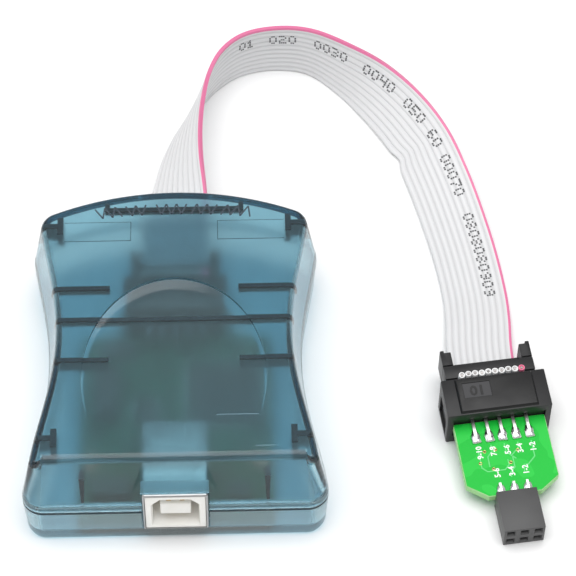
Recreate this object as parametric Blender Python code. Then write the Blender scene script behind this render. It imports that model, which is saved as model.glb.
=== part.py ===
"""USB microcontroller programmer.

A translucent hourglass case in two snap-fit halves holds a small circuit board with a
USB socket at the front.  A ten-way ribbon cable leaves the rear wall, turns back beside
the case and ends in a crimped socket, which is plugged into a small adapter board with
a six-way socket for the chip that is being programmed.

Frame: +Z up, the case's base on Z = 0 and centred on the origin, the USB socket at -Y,
the ribbon cable's exit at +Y.  Units are metres; MM turns the drawing's sizes into them.
"""
import math

import bmesh
import bpy
from mathutils import Matrix, Vector

MM = 0.001

# ---------------------------------------------------------------- driving dimensions
CASE_FRONT = -34.3 * MM          # front wall at the parting line
CASE_REAR = 34.7 * MM            # apex of the rear wall at the parting line
WAIST_Y = -2.0 * MM              # narrowest place of the hourglass
WAIST_HALF = 23.85 * MM          # half width there
FRONT_FLARE = (4.6 * MM, 36 * MM)    # how far, and over what length, the front widens
REAR_FLARE = (4.5 * MM, 38 * MM)
REAR_ARC = 58 * MM               # radius of the bowed rear wall
FRONT_CORNER = 4.0 * MM
REAR_CORNER = 5.5 * MM
CASE_TOP = 20.0 * MM
PARTING = 8.3 * MM               # height of the line where the halves meet
PARTING_GAP = 0.2 * MM
WALL = 2.0 * MM
FLOOR = 1.5 * MM
TONGUE = (1.1 * MM, 1.1 * MM)    # inset and height of the base's inner lip
# outer profile of the halves: height and the inset of the sides, the front and the rear
BASE_PROFILE = ((0.0, 2.3, 0.95, 1.8), (0.45, 1.1, 0.4, 0.9), (1.4, 0.45, 0.15, 0.45),
                (8.3, 0.0, 0.0, 0.0))
LID_PROFILE = ((8.5, 0, 0, 0), (9.7, 0.08, 0.1, 0.08), (10.2, 0.25, 0.45, 0.25),
               (18.5, 1.75, 3.45, 1.6), (19.4, 2.0, 3.9, 1.85), (19.85, 2.4, 4.4, 2.25),
               (20.0, 3.0, 5.0, 2.9))
POST_Y = (25.2 * MM, -24.8 * MM)     # the four T-shaped posts inside the lid
POST_CAP_X = 21.8 * MM
RIB_INNER_X = 12.1 * MM
RIB_THICK = 0.9 * MM
FRONT_RIB_X = 16.8 * MM
DISH = (17.0 * MM, 23.0 * MM, -12.0 * MM)    # thumb dish: half width, half length, centre Y
DISH_DEPTH = 0.9 * MM
DISH_FADE_Y = -21.0 * MM

BOARD_HALF = 18.0 * MM
BOARD_TAB_HALF = 10.5 * MM
BOARD_Y = (-31.6 * MM, 9.0 * MM, 15.0 * MM)  # front edge, shoulder, end of the rear tab
BOARD_Z = (1.8 * MM, 3.4 * MM)

USB_FRONT = -34.7 * MM
USB_DEPTH = 16.3 * MM
USB_HALF = 6.0 * MM
USB_Z = (3.45 * MM, 14.0 * MM)
USB_PORT_HALF = 4.23 * MM
USB_PORT_HEIGHT = 7.78 * MM
USB_TONGUE = (2.8 * MM, 1.6 * MM)            # half width and half height

PITCH = 2.54 * MM
PIN = 0.64 * MM
HEADER_HALF = 9.9 * MM           # ten-way box header
HEADER_HALF_HEIGHT = 4.5 * MM
HEADER_DEPTH = 8.1 * MM
HEADER_BASE = 1.9 * MM
SOCKET_HALF = 8.6 * MM           # crimped ten-way socket
SOCKET_HALF_HEIGHT = 3.0 * MM
CRIMP_Y = 8.75 * MM              # plane in which the wires are crimped
COVER_Y = (9.25 * MM, 11.9 * MM)
CLIP_END_Y = 15.7 * MM

RIBBON_WIDTH = 12.7 * MM
RIBBON_THICK = 0.9 * MM
RIBBON_FOLD = 1.05 * MM          # radius of the fold under the socket's cover
RIBBON_FOLD_Z = -3.6 * MM
RIBBON_CUT_Z = 4.3 * MM          # the cut ends stand this high above the crimp's middle
FLOOR_CLEARANCE = 0.1 * MM

HEADER_ORIGIN = Vector((0.0, 9.0 * MM, 8.0 * MM))
ADAPTER_ORIGIN = Vector((60.43 * MM, -13.0 * MM, 4.5 * MM))
ADAPTER_TURN = math.radians(7.25)
ADAPTER_TILT = math.radians(4.5)     # it rests on the header's and the nose's front edges
ADAPTER_HALF = 8.72 * MM
ADAPTER_NOSE_HALF = 4.95 * MM
ADAPTER_SHOULDER_Y = -12.98 * MM
ADAPTER_NOSE_Y = -15.78 * MM
ADAPTER_BOARD_HALF = 0.8 * MM
TARGET_SOCKET = (3.81 * MM, 2.54 * MM, 8.5 * MM)     # half width, half height, length

# ribbon route between its two folds: plan position, height (None lies on the surface)
# and roll, the angle of the marked edge: 0 flat to the right, 90 on edge, 180 flat again
RIBBON_ROUTE = (
    (0.0, 22.2, 4.4, 0), (0.0, 25.3, 4.55, 0), (0.0, 29.0, 7.0, 0), (0.0, 32.6, 8.6, 0),
    (0.1, 36.2, 8.7, 8), (0.4, 41.5, 8.3, 27), (0.6, 48.5, 7.7, 41), (1.3, 56.0, 7.4, 52),
    (2.95, 64.0, 7.1, 64), (5.3, 71.0, None, 76), (8.9, 77.5, None, 84),
    (14.0, 81.8, None, 88), (21.0, 83.3, None, 90), (28.2, 81.9, None, 94),
    (35.7, 76.3, None, 108), (41.1, 71.3, None, 125), (46.2, 64.9, None, 140),
    (50.0, 58.1, None, 152), (52.6, 50.5, None, 162), (54.8, 42.0, None, 170),
    (57.0, 31.3, None, 177), (58.3, 21.5, None, 180), (58.5, 14.5, 1.25, 180),
    (58.25, 8.0, 2.05, 180), (58.36, 3.3, 2.17, 180), (58.8, -0.18, 1.9, 180))
ROUTE_STEPS = 3


# ---------------------------------------------------------------- scene and materials
def clear_scene():
    for obj in list(bpy.data.objects):
        bpy.data.objects.remove(obj, do_unlink=True)


def material(name, color, roughness, metallic=0.0, alpha=1.0):
    mat = bpy.data.materials.new(name)
    mat.use_nodes = True
    shader = mat.node_tree.nodes["Principled BSDF"]
    shader.inputs["Base Color"].default_value = (*color, 1.0)
    shader.inputs["Roughness"].default_value = roughness
    shader.inputs["Metallic"].default_value = metallic
    shader.inputs["Alpha"].default_value = alpha
    return mat


def make_materials():
    return {
        "case": material("smoky_blue_plastic", (0.06, 0.2, 0.26), 0.25, alpha=0.5),
        "board": material("green_board", (0.02, 0.3, 0.08), 0.4),
        "adapter": material("bright_green_board", (0.02, 0.55, 0.1), 0.3),
        "metal": material("nickel_plate", (0.75, 0.75, 0.77), 0.3, 1.0),
        "pin": material("tinned_brass", (0.8, 0.77, 0.7), 0.3, 1.0),
        "cream": material("cream_plastic", (0.85, 0.83, 0.76), 0.4),
        "black": material("black_plastic", (0.03, 0.03, 0.032), 0.45),
        "ribbon": material("grey_ribbon", (0.7, 0.7, 0.7), 0.5),
        "chip": material("chip_epoxy", (0.05, 0.05, 0.05), 0.6),
        "tantalum": material("tantalum_case", (0.45, 0.25, 0.08), 0.5),
        "lens": material("led_lens", (0.8, 0.3, 0.2), 0.3),
    }


# ---------------------------------------------------------------- mesh helpers
def finish_object(name, bm, mat, frame=None):
    """Turn a bmesh into a named object with outward faces, under its frame empty."""
    bmesh.ops.recalc_face_normals(bm, faces=bm.faces)
    mesh = bpy.data.meshes.new(name)
    bm.to_mesh(mesh)
    bm.free()
    mesh.materials.append(mat)
    obj = bpy.data.objects.new(name, mesh)
    bpy.context.collection.objects.link(obj)
    obj.parent = frame
    return obj


def frame_empty(name, origin, turn=0.0, tilt=0.0):
    empty = bpy.data.objects.new(name, None)
    empty.matrix_world = (Matrix.Translation(origin) @ Matrix.Rotation(turn, 4, "Z")
                          @ Matrix.Rotation(tilt, 4, "X"))
    bpy.context.collection.objects.link(empty)
    return empty


def add_box(bm, low, high):
    """A box between two corners, added to bm; returns its vertices."""
    low, high = Vector(low), Vector(high)
    made = bmesh.ops.create_cube(bm, size=1.0)["verts"]
    for vert in made:
        vert.co = (low + high) / 2 + Vector(c * s for c, s in zip(vert.co, high - low))
    return made


def add_prism(bm, lower, upper):
    """A closed solid between two outlines with the same number of points."""
    add_loft(bm, (lower, upper))


def add_loft(bm, rings):
    """A closed solid through a chain of rings, capped at its first and last ring."""
    loops = [[bm.verts.new(point) for point in ring] for ring in rings]
    count = len(loops[0])
    for near, far in zip(loops, loops[1:]):
        for i in range(count):
            j = (i + 1) % count
            bm.faces.new((near[i], near[j], far[j], far[i]))
    bm.faces.new(loops[0])
    bm.faces.new(loops[-1])


def bevel_all(bm, width, segments=1):
    bmesh.ops.bevel(bm, geom=list(bm.edges), offset=width, segments=segments,
                    profile=0.5, affect="EDGES")


def box(name, low, high, mat, frame=None, bevel=0.0):
    bm = bmesh.new()
    add_box(bm, low, high)
    if bevel:
        bevel_all(bm, bevel)
    return finish_object(name, bm, mat, frame)


def boolean(obj, tool, operation):
    """Add or remove a tool solid, which is hidden and left out of the model."""
    tool.hide_render = True
    tool.display_type = "WIRE"
    mod = obj.modifiers.new(tool.name, "BOOLEAN")
    mod.operation = operation
    mod.solver = "EXACT"
    mod.object = tool


def tool_boxes(name, boxes, mat, frame=None):
    """One tool object made of boxes that stay clear of each other."""
    bm = bmesh.new()
    for low, high in boxes:
        add_box(bm, low, high)
    return finish_object(name, bm, mat, frame)


# ---------------------------------------------------------------- the case's outline
def half_width(y):
    """Half width of the hourglass at the parting line."""
    flare, length = FRONT_FLARE if y < WAIST_Y else REAR_FLARE
    phase = math.pi * abs(y - WAIST_Y) / length
    return WAIST_HALF + flare * (1 - math.cos(phase)) / 2


def side_normal(y):
    step = 0.01 * MM
    slope = (half_width(y + step) - half_width(y - step)) / (2 * step)
    return Vector((1.0, -slope)).normalized()


def corner_centre(y, radius):
    return Vector((half_width(y), y)) - side_normal(y) * radius


def bisect(test, low, high):
    """The place between low, where test holds, and high, where it does not."""
    for _ in range(40):
        middle = (low + high) / 2
        if test(middle):
            low = middle
        else:
            high = middle
    return low


def outline():
    """Right half of the outline at the parting line, front to rear: points and normals."""
    front_y = -bisect(lambda y: corner_centre(-y, FRONT_CORNER).y > CASE_FRONT + FRONT_CORNER,
                      20 * MM, -CASE_FRONT)
    arc_centre = Vector((0.0, CASE_REAR - REAR_ARC))
    rear_y = bisect(lambda y: (corner_centre(y, REAR_CORNER) - arc_centre).length
                    < REAR_ARC - REAR_CORNER, 15 * MM, CASE_REAR)
    front_c = corner_centre(front_y, FRONT_CORNER)
    rear_c = corner_centre(rear_y, REAR_CORNER)
    points = []
    for i in range(4):
        points.append((Vector((front_c.x * i / 4, CASE_FRONT)), Vector((0, -1))))
    points += arc(front_c, FRONT_CORNER, -math.pi / 2, normal_angle(side_normal(front_y)), 6)
    for i in range(1, 18):
        y = front_y + (rear_y - front_y) * i / 18
        points.append((Vector((half_width(y), y)), side_normal(y)))
    end = normal_angle((rear_c - arc_centre).normalized())
    points += arc(rear_c, REAR_CORNER, normal_angle(side_normal(rear_y)), end, 6)
    for i in range(1, 9):
        angle = end + (math.pi / 2 - end) * i / 8
        normal = Vector((math.cos(angle), math.sin(angle)))
        points.append((arc_centre + normal * REAR_ARC, normal))
    return points


def normal_angle(normal):
    return math.atan2(normal.y, normal.x)


def arc(centre, radius, start, end, steps):
    made = []
    for i in range(steps + 1):
        angle = start + (end - start) * i / steps
        normal = Vector((math.cos(angle), math.sin(angle)))
        made.append((centre + normal * radius, normal))
    return made


def ring(z, side, front, rear):
    """The whole outline at height z, moved in by the given insets."""
    half = []
    for point, normal in OUTLINE:
        ends = front if normal.y < 0 else rear
        inset = side * normal.x ** 2 + ends * normal.y ** 2
        moved = point - normal * inset
        half.append(Vector((moved.x, moved.y, z)))
    mirrored = [Vector((-p.x, p.y, p.z)) for p in reversed(half[1:-1])]
    return half + mirrored


OUTLINE = outline()


def profile_rings(profile, extra=0.0):
    return [ring(z * MM, side * MM + extra, front * MM + extra, rear * MM + extra)
            for z, side, front, rear in profile]


def lid_inset(z):
    """Insets of the lid's outer wall at height z, from its straight sloping stretch."""
    low, high = LID_PROFILE[2], LID_PROFILE[3]
    share = (z / MM - low[0]) / (high[0] - low[0])
    return [(a + (b - a) * share) * MM for a, b in zip(low[1:], high[1:])]


def wall_x(y, z):
    """X in the middle of the lid's side wall."""
    return half_width(y) - lid_inset(z)[0] - WALL / 2


# ---------------------------------------------------------------- the case
def make_bottom_shell(mats):
    inner_floor = ring(FLOOR, WALL + 0.4 * MM, WALL + 0.35 * MM, WALL + 0.4 * MM)
    lip_inset, lip_height = TONGUE
    rings = profile_rings(BASE_PROFILE)
    rings.append(ring(PARTING, lip_inset, lip_inset, lip_inset))
    rings.append(ring(PARTING + lip_height, lip_inset, lip_inset, lip_inset))
    rings.append(ring(PARTING + lip_height, WALL, WALL, WALL))
    rings.append(inner_floor)
    bm = bmesh.new()
    add_loft(bm, rings)
    shell = finish_object("bottom_shell", bm, mats["case"])
    boolean(shell, base_supports(mats), "UNION")
    boolean(shell, port_cutter("base_openings", mats, PARTING + 3 * MM), "DIFFERENCE")
    return shell


def base_supports(mats):
    """Low pads under the board and two upright ribs on the front wall."""
    boxes = []
    for x in (-14 * MM, 14 * MM):
        for y in (-26 * MM, 5 * MM):
            boxes.append(((x - 2 * MM, y - 2 * MM, FLOOR / 2),
                          (x + 2 * MM, y + 2 * MM, BOARD_Z[0] - 0.06 * MM)))
    front = CASE_FRONT + WALL
    for x in (-FRONT_RIB_X, FRONT_RIB_X):
        boxes.append(((x - 0.4 * MM, front - 0.8 * MM, FLOOR / 2),
                      (x + 0.4 * MM, front + 0.55 * MM, PARTING - 0.5 * MM)))
    return tool_boxes("base_supports", boxes, mats["case"])


def port_cutter(name, mats, top):
    """Room for the USB socket in the front wall and for the ribbon in the rear wall."""
    gap = 0.15 * MM
    low_z = USB_Z[0] - gap
    usb = ((-USB_HALF - gap, USB_FRONT - 3 * MM, low_z), (USB_HALF + gap, CASE_FRONT + 4 * MM, top))
    slot = ((-7 * MM, CASE_REAR - 5 * MM, 7.8 * MM), (7 * MM, CASE_REAR + 3 * MM, top))
    return tool_boxes(name, (usb, slot), mats["case"])


def make_top_shell(mats):
    gap = 0.3 * MM
    lip_inset, lip_height = TONGUE
    rebate = lip_inset - gap
    bottom = PARTING + PARTING_GAP
    step_z = PARTING + lip_height + gap
    rings = list(reversed(profile_rings(LID_PROFILE)))
    rings.append(ring(bottom, rebate, rebate, rebate))
    rings.append(ring(step_z, rebate, rebate, rebate))
    rings.append(ring(step_z, WALL, WALL, WALL))
    inner_top = CASE_TOP - WALL
    side, front, rear = lid_inset(inner_top)
    rings.append(ring(inner_top, side + WALL, front + WALL, rear + WALL))
    bm = bmesh.new()
    add_loft(bm, rings)
    shell = finish_object("top_shell", bm, mats["case"])
    boolean(shell, lid_ribs(mats), "UNION")
    boolean(shell, lid_front_ribs(mats), "UNION")
    boolean(shell, lid_openings(mats), "DIFFERENCE")
    boolean(shell, thumb_dish(mats), "DIFFERENCE")
    return shell


def wall_rib(bm, side, inner_x, y, thick, low_z, high_z, inner_low_z=None):
    """A flat rib from the side wall inwards, hanging from the ceiling."""
    inner_low = low_z if inner_low_z is None else inner_low_z
    lower, upper = [], []
    for x, z in ((inner_x, inner_low), (wall_x(y, low_z), low_z)):
        lower.append((x, z))
    for x in (inner_x, wall_x(y, high_z)):
        upper.append((x, high_z))
    rings = []
    for offset in (-thick / 2, thick / 2):
        corners = (lower[0], lower[1], upper[1], upper[0])
        rings.append([Vector((side * x, y + offset, z)) for x, z in corners])
    add_loft(bm, rings)


def lid_ribs(mats):
    """T posts, cross ribs and the box around the cable slot, all clear of each other."""
    ceiling = CASE_TOP - WALL
    embed = ceiling + 0.7 * MM
    bm = bmesh.new()
    for side in (-1, 1):
        for y in POST_Y:
            add_post(bm, side, y, 10.0 * MM, embed)
        wall_rib(bm, side, RIB_INNER_X, 9.7 * MM, RIB_THICK, ceiling - 1.3 * MM, embed)
        wall_rib(bm, side, RIB_INNER_X, -7.2 * MM, RIB_THICK, ceiling - 5.5 * MM, embed,
                 ceiling - 0.8 * MM)
    y, low_z = 2.2 * MM, ceiling - 1.3 * MM
    end_low, end_high = wall_x(y, low_z), wall_x(y, embed)
    rings = [[Vector((-end_low, y + o, low_z)), Vector((end_low, y + o, low_z)),
              Vector((end_high, y + o, embed)), Vector((-end_high, y + o, embed))]
             for o in (-RIB_THICK / 2, RIB_THICK / 2)]
    add_loft(bm, rings)
    return finish_object("lid_ribs", bm, mats["case"])


def add_post(bm, side, y, low_z, high_z):
    """A T in plan: a stem out of the side wall and a cap bar across its end."""
    cap_half, cap_thick, stem_half = 1.95 * MM, 0.55 * MM, 0.5 * MM
    rings = []
    for z in (low_z, high_z):
        outer = wall_x(y, z)
        plan = ((POST_CAP_X - cap_thick, -cap_half), (POST_CAP_X + cap_thick, -cap_half),
                (POST_CAP_X + cap_thick, -stem_half), (outer, -stem_half),
                (outer, stem_half), (POST_CAP_X + cap_thick, stem_half),
                (POST_CAP_X + cap_thick, cap_half), (POST_CAP_X - cap_thick, cap_half))
        rings.append([Vector((side * x, y + dy, z)) for x, dy in plan])
    add_loft(bm, rings)


def lid_front_ribs(mats):
    """Two upright ribs behind the sloping front wall and the box behind the cable slot."""
    bm = bmesh.new()
    low_z, high_z = 10.2 * MM, CASE_TOP - WALL + 0.5 * MM
    for side in (-1, 1):
        x = side * FRONT_RIB_X
        rings = []
        for z, thick, deep in ((low_z, 0.5 * MM, 0.5 * MM), (15.0 * MM, 1.0 * MM, 1.3 * MM)):
            wall_y = CASE_FRONT + lid_inset(z)[1]
            near, far = wall_y + WALL / 2, wall_y + WALL + deep
            rings.append([Vector((x - thick / 2, near, z)), Vector((x + thick / 2, near, z)),
                          Vector((x + thick / 2, far, z)), Vector((x - thick / 2, far, z))])
        add_loft(bm, rings)
    add_loft(bm, [cable_box(z) for z in (10.3 * MM, high_z)])
    return finish_object("lid_front_ribs", bm, mats["case"])


def cable_box(z):
    """A wide U in plan, open to the rear wall, above the cable slot."""
    half, thick, front_y = 13.3 * MM, 0.9 * MM, 28.5 * MM
    bow = REAR_ARC - math.sqrt(REAR_ARC ** 2 - half ** 2)
    wall_y = CASE_REAR - bow - lid_inset(z)[2] - WALL / 2
    plan = ((-half, wall_y), (-half, front_y), (half, front_y), (half, wall_y),
            (half - thick, wall_y), (half - thick, front_y + thick),
            (-half + thick, front_y + thick), (-half + thick, wall_y))
    return [Vector((x, y, z)) for x, y in plan]


def lid_openings(mats):
    gap = 0.15 * MM
    usb = ((-USB_HALF - gap, USB_FRONT - 3 * MM, PARTING - 1 * MM),
           (USB_HALF + gap, CASE_FRONT + 5 * MM, USB_Z[1] + gap))
    slot = ((-7 * MM, CASE_REAR - 5 * MM, PARTING - 1 * MM),
            (7 * MM, CASE_REAR + 3 * MM, 9.9 * MM))
    return tool_boxes("lid_openings", (usb, slot), mats["case"])


def thumb_dish(mats):
    """An oval cut whose floor slopes up towards the front until it meets the top."""
    half_x, half_y, centre_y = DISH
    steps = 56
    floor_slope = DISH_DEPTH / (centre_y + half_y - DISH_FADE_Y)
    lower, upper = [], []
    for i in range(steps):
        angle = 2 * math.pi * i / steps
        x, y = half_x * math.cos(angle), centre_y + half_y * math.sin(angle)
        depth = (y - DISH_FADE_Y) * floor_slope
        lower.append(Vector((x, y, CASE_TOP - depth)))
        upper.append(Vector((x, y, CASE_TOP + 3 * MM)))
    bm = bmesh.new()
    add_prism(bm, lower, upper)
    return finish_object("thumb_dish", bm, mats["case"])


# ---------------------------------------------------------------- board and USB socket
def make_main_board(mats):
    front, shoulder, end = BOARD_Y
    plan = ((-BOARD_HALF, front), (BOARD_HALF, front), (BOARD_HALF, shoulder),
            (BOARD_TAB_HALF, shoulder), (BOARD_TAB_HALF, end), (-BOARD_TAB_HALF, end),
            (-BOARD_TAB_HALF, shoulder), (-BOARD_HALF, shoulder))
    bm = bmesh.new()
    add_prism(bm, [Vector((x, y, BOARD_Z[0])) for x, y in plan],
              [Vector((x, y, BOARD_Z[1])) for x, y in plan])
    return finish_object("main_board", bm, mats["board"])


def make_usb_socket(mats):
    middle = (USB_Z[0] + USB_Z[1]) / 2
    plate, back = 0.4 * MM, USB_FRONT + USB_DEPTH
    shell = box("usb_shell", (-USB_HALF, USB_FRONT, USB_Z[0]), (USB_HALF, back, USB_Z[1]),
                mats["metal"])
    inner_half, inner_low, inner_high = USB_HALF - plate, USB_Z[0] + plate, USB_Z[1] - plate
    hollow = ((-inner_half, USB_FRONT - MM, inner_low), (inner_half, back - plate, inner_high))
    boolean(shell, tool_boxes("usb_hollow", (hollow,), mats["metal"]), "DIFFERENCE")
    gap = 0.08 * MM
    insulator = box("usb_insulator", (-inner_half + gap, USB_FRONT + 0.1 * MM, inner_low + gap),
                    (inner_half - gap, back - plate - gap, inner_high - gap), mats["cream"])
    boolean(insulator, usb_port(mats, middle), "DIFFERENCE")
    half_x, half_z = USB_TONGUE
    tongue = ((-half_x, USB_FRONT + 1.0 * MM, middle - half_z),
              (half_x, USB_FRONT + 10 * MM, middle + half_z))
    boolean(insulator, tool_boxes("usb_tongue", (tongue,), mats["cream"]), "UNION")
    number = 1
    for side_z in (-1, 1):
        for x in (-1.25 * MM, 1.25 * MM):
            face = middle + side_z * (half_z + 0.05 * MM)
            outer = face + side_z * 0.25 * MM
            box(f"usb_contact_{number}", (x - 0.4 * MM, USB_FRONT + 1.6 * MM, min(face, outer)),
                (x + 0.4 * MM, USB_FRONT + 8.5 * MM, max(face, outer)), mats["pin"])
            number += 1


def usb_port(mats, middle):
    """The square port with its two upper corners cut off."""
    half, half_z, cut = USB_PORT_HALF, USB_PORT_HEIGHT / 2, 1.6 * MM
    plan = ((-half, -half_z), (half, -half_z), (half, half_z - cut), (half - cut, half_z),
            (-half + cut, half_z), (-half, half_z - cut))
    bm = bmesh.new()
    add_prism(bm, [Vector((x, USB_FRONT - MM, middle + z)) for x, z in plan],
              [Vector((x, USB_FRONT + 9 * MM, middle + z)) for x, z in plan])
    return finish_object("usb_port", bm, mats["cream"])


def make_board_parts(mats):
    """Parts on the board: name, centre X and Y, length, width, height, finish."""
    parts = (("microcontroller", 9.2, -5.4, 14.0, 14.0, 1.2, "chip"),
             ("memory_chip", -5.6, -9.2, 4.0, 6.0, 1.4, "chip"),
             ("voltage_regulator", -11.0, 4.8, 6.6, 3.6, 1.7, "chip"),
             ("crystal", -13.0, -6.0, 4.6, 11.0, 3.4, "metal"),
             ("bulk_capacitor", -12.0, -26.0, 7.3, 4.3, 2.9, "tantalum"),
             ("input_fuse", 11.5, -26.0, 4.6, 3.4, 1.2, "tantalum"),
             ("power_led", -15.6, -19.5, 2.0, 1.3, 0.9, "lens"),
             ("status_led", 15.6, -19.5, 2.0, 1.3, 0.9, "lens"))
    base = BOARD_Z[1] + 0.06 * MM
    for name, x, y, length, width, height, finish in parts:
        low = ((x - length / 2) * MM, (y - width / 2) * MM, base)
        high = ((x + length / 2) * MM, (y + width / 2) * MM, base + height * MM)
        box(name, low, high, mats[finish], bevel=0.15 * MM)


# ---------------------------------------------------------------- ten-way connectors
# Their frame: the origin is the centre of the header's rear face, the header's mouth
# and the ribbon are towards +Y, and the board is towards -Y.
def pin_places():
    return [((column - 2) * PITCH, row * PITCH / 2) for row in (-1, 1) for column in range(5)]


def make_box_header(name, mats, frame, board_slot):
    """A five-by-two box header lying on its side, with its key notch downwards."""
    bm = bmesh.new()
    add_box(bm, (-HEADER_HALF, 0, -HEADER_HALF_HEIGHT),
            (HEADER_HALF, HEADER_DEPTH, HEADER_HALF_HEIGHT))
    bevel_all(bm, 0.2 * MM)
    header = finish_object(name, bm, mats["black"], frame)
    gap = 0.3 * MM
    cavity = ((-SOCKET_HALF - gap, HEADER_BASE, -SOCKET_HALF_HEIGHT - gap),
              (SOCKET_HALF + gap, HEADER_DEPTH + MM, SOCKET_HALF_HEIGHT + gap))
    key = ((-2.2 * MM, HEADER_BASE + 1.2 * MM, -HEADER_HALF_HEIGHT - MM),
           (2.2 * MM, HEADER_DEPTH + 2 * MM, -SOCKET_HALF_HEIGHT))
    boolean(header, tool_boxes(name + "_cavity", (cavity,), mats["black"], frame), "DIFFERENCE")
    boolean(header, tool_boxes(name + "_key", (key,), mats["black"], frame), "DIFFERENCE")
    if board_slot:
        slot = ((-9.1 * MM, -MM, -2.2 * MM), (9.1 * MM, 0.55 * MM, 2.2 * MM))
        boolean(header, tool_boxes(name + "_slot", (slot,), mats["black"], frame), "DIFFERENCE")
    hole = PIN / 2 + 0.08 * MM
    holes = [((x - hole, -MM, z - hole), (x + hole, HEADER_BASE + MM, z + hole))
             for x, z in pin_places()]
    boolean(header, tool_boxes(name + "_holes", holes, mats["black"], frame), "DIFFERENCE")


def make_ribbon_socket(prefix, mats, frame):
    """The crimped socket: body with pin holes, cover over the crimp, strain-relief clip."""
    body = box(prefix + "_body", (-SOCKET_HALF, HEADER_BASE + 0.4 * MM, -SOCKET_HALF_HEIGHT),
               (SOCKET_HALF, CRIMP_Y - 0.5 * MM, SOCKET_HALF_HEIGHT), mats["black"], frame,
               bevel=0.15 * MM)
    hole = 0.55 * MM
    holes = [((x - hole, 0, z - hole), (x + hole, CRIMP_Y - 1.6 * MM, z + hole))
             for x, z in pin_places()]
    boolean(body, tool_boxes(prefix + "_holes", holes, mats["black"], frame), "DIFFERENCE")
    make_cover(prefix + "_cover", mats, frame)
    make_clip(prefix + "_clip", mats, frame)


def make_cover(name, mats, frame):
    """A bar whose lower front edge is cut back for the ribbon's fold."""
    near, far = COVER_Y
    top, cut = SOCKET_HALF_HEIGHT, 0.5 * MM
    section = ((near, top), (far, top), (far, -top), (near + cut, -top), (near, -top + cut))
    bm = bmesh.new()
    add_prism(bm, [Vector((-SOCKET_HALF, y, z)) for y, z in section],
              [Vector((SOCKET_HALF, y, z)) for y, z in section])
    return finish_object(name, bm, mats["black"], frame)


def make_clip(name, mats, frame):
    """Two ears beside the ribbon, joined by a bar above it."""
    near, inner = COVER_Y[1] + 0.1 * MM, RIBBON_WIDTH / 2 + 0.2 * MM
    top = SOCKET_HALF_HEIGHT - 0.1 * MM
    bar = (-2.7 * MM, -1.3 * MM)
    plan = ((-SOCKET_HALF, -top), (-inner, -top), (-inner, bar[0]), (inner, bar[0]),
            (inner, -top), (SOCKET_HALF, -top), (SOCKET_HALF, top), (inner, top),
            (inner, bar[1]), (-inner, bar[1]), (-inner, top), (-SOCKET_HALF, top))
    bm = bmesh.new()
    add_prism(bm, [Vector((x, near, z)) for x, z in plan],
              [Vector((x, CLIP_END_Y, z)) for x, z in plan])
    return finish_object(name, bm, mats["black"], frame)


def make_board_pins(mats, frame):
    """Right-angle pins: along the header, then down to the main board."""
    board_top = BOARD_Z[1] + 0.05 * MM - HEADER_ORIGIN.z
    tip_y, half = HEADER_DEPTH - 1.5 * MM, PIN / 2
    for number, (x, z) in enumerate(pin_places(), 1):
        leg_y = -1.6 * MM if z < 0 else -4.1 * MM
        section = ((tip_y, z + half), (tip_y, z - half), (leg_y + half, z - half),
                   (leg_y + half, board_top), (leg_y - half, board_top), (leg_y - half, z + half))
        bm = bmesh.new()
        add_prism(bm, [Vector((x - half, y, h)) for y, h in section],
                  [Vector((x + half, y, h)) for y, h in section])
        finish_object(f"board_pin_{number}", bm, mats["pin"], frame)


# ---------------------------------------------------------------- the adapter
def make_adapter_pins(mats, frame):
    """Straight pins through the header; the tails grip the board from both sides."""
    half = PIN / 2
    for number, (x, z) in enumerate(pin_places(), 1):
        box(f"adapter_pin_{number}", (x - half, -3.4 * MM, z - half),
            (x + half, HEADER_DEPTH - 1.5 * MM, z + half), mats["pin"], frame)


def make_adapter_board(mats, frame):
    rear = 0.45 * MM
    plan = ((ADAPTER_HALF, rear), (-ADAPTER_HALF, rear), (-ADAPTER_HALF, ADAPTER_SHOULDER_Y),
            (-ADAPTER_NOSE_HALF, ADAPTER_NOSE_Y), (ADAPTER_NOSE_HALF, ADAPTER_NOSE_Y),
            (ADAPTER_HALF, ADAPTER_SHOULDER_Y))
    bm = bmesh.new()
    add_prism(bm, [Vector((x, y, -ADAPTER_BOARD_HALF)) for x, y in plan],
              [Vector((x, y, ADAPTER_BOARD_HALF)) for x, y in plan])
    return finish_object("adapter_board", bm, mats["adapter"], frame)


def make_target_socket(mats, frame):
    """The three-by-two socket on the board's nose, with a contact in each hole."""
    half_x, half_z, length = TARGET_SOCKET
    rear = ADAPTER_NOSE_Y - 0.1 * MM
    front = rear - length
    socket = box("target_socket", (-half_x, front, -half_z), (half_x, rear, half_z),
                 mats["black"], frame, bevel=0.1 * MM)
    hole, contact = 0.55 * MM, 0.27 * MM
    places = [(column * PITCH, row * PITCH / 2) for row in (-1, 1) for column in (-1, 0, 1)]
    holes = [((x - hole, front - MM, z - hole), (x + hole, rear + MM, z + hole))
             for x, z in places]
    boolean(socket, tool_boxes("target_holes", holes, mats["black"], frame), "DIFFERENCE")
    for number, (x, z) in enumerate(places, 1):
        box(f"target_contact_{number}", (x - contact, front + 2.6 * MM, z - contact),
            (x + contact, rear + 2.4 * MM, z + contact), mats["pin"], frame)


# ---------------------------------------------------------------- the ribbon cable
def lying_height(roll):
    """Height of the ribbon's centre where its lower edge or face rests on the surface."""
    edge = RIBBON_WIDTH / 2 * abs(math.sin(roll))
    return edge + RIBBON_THICK / 2 * abs(math.cos(roll)) + FLOOR_CLEARANCE


def route_points():
    points = []
    for x, y, z, degrees in RIBBON_ROUTE:
        roll = math.radians(degrees)
        height = lying_height(roll) if z is None else z * MM
        points.append(Vector((x * MM, y * MM, height, roll)))
    return points


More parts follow.
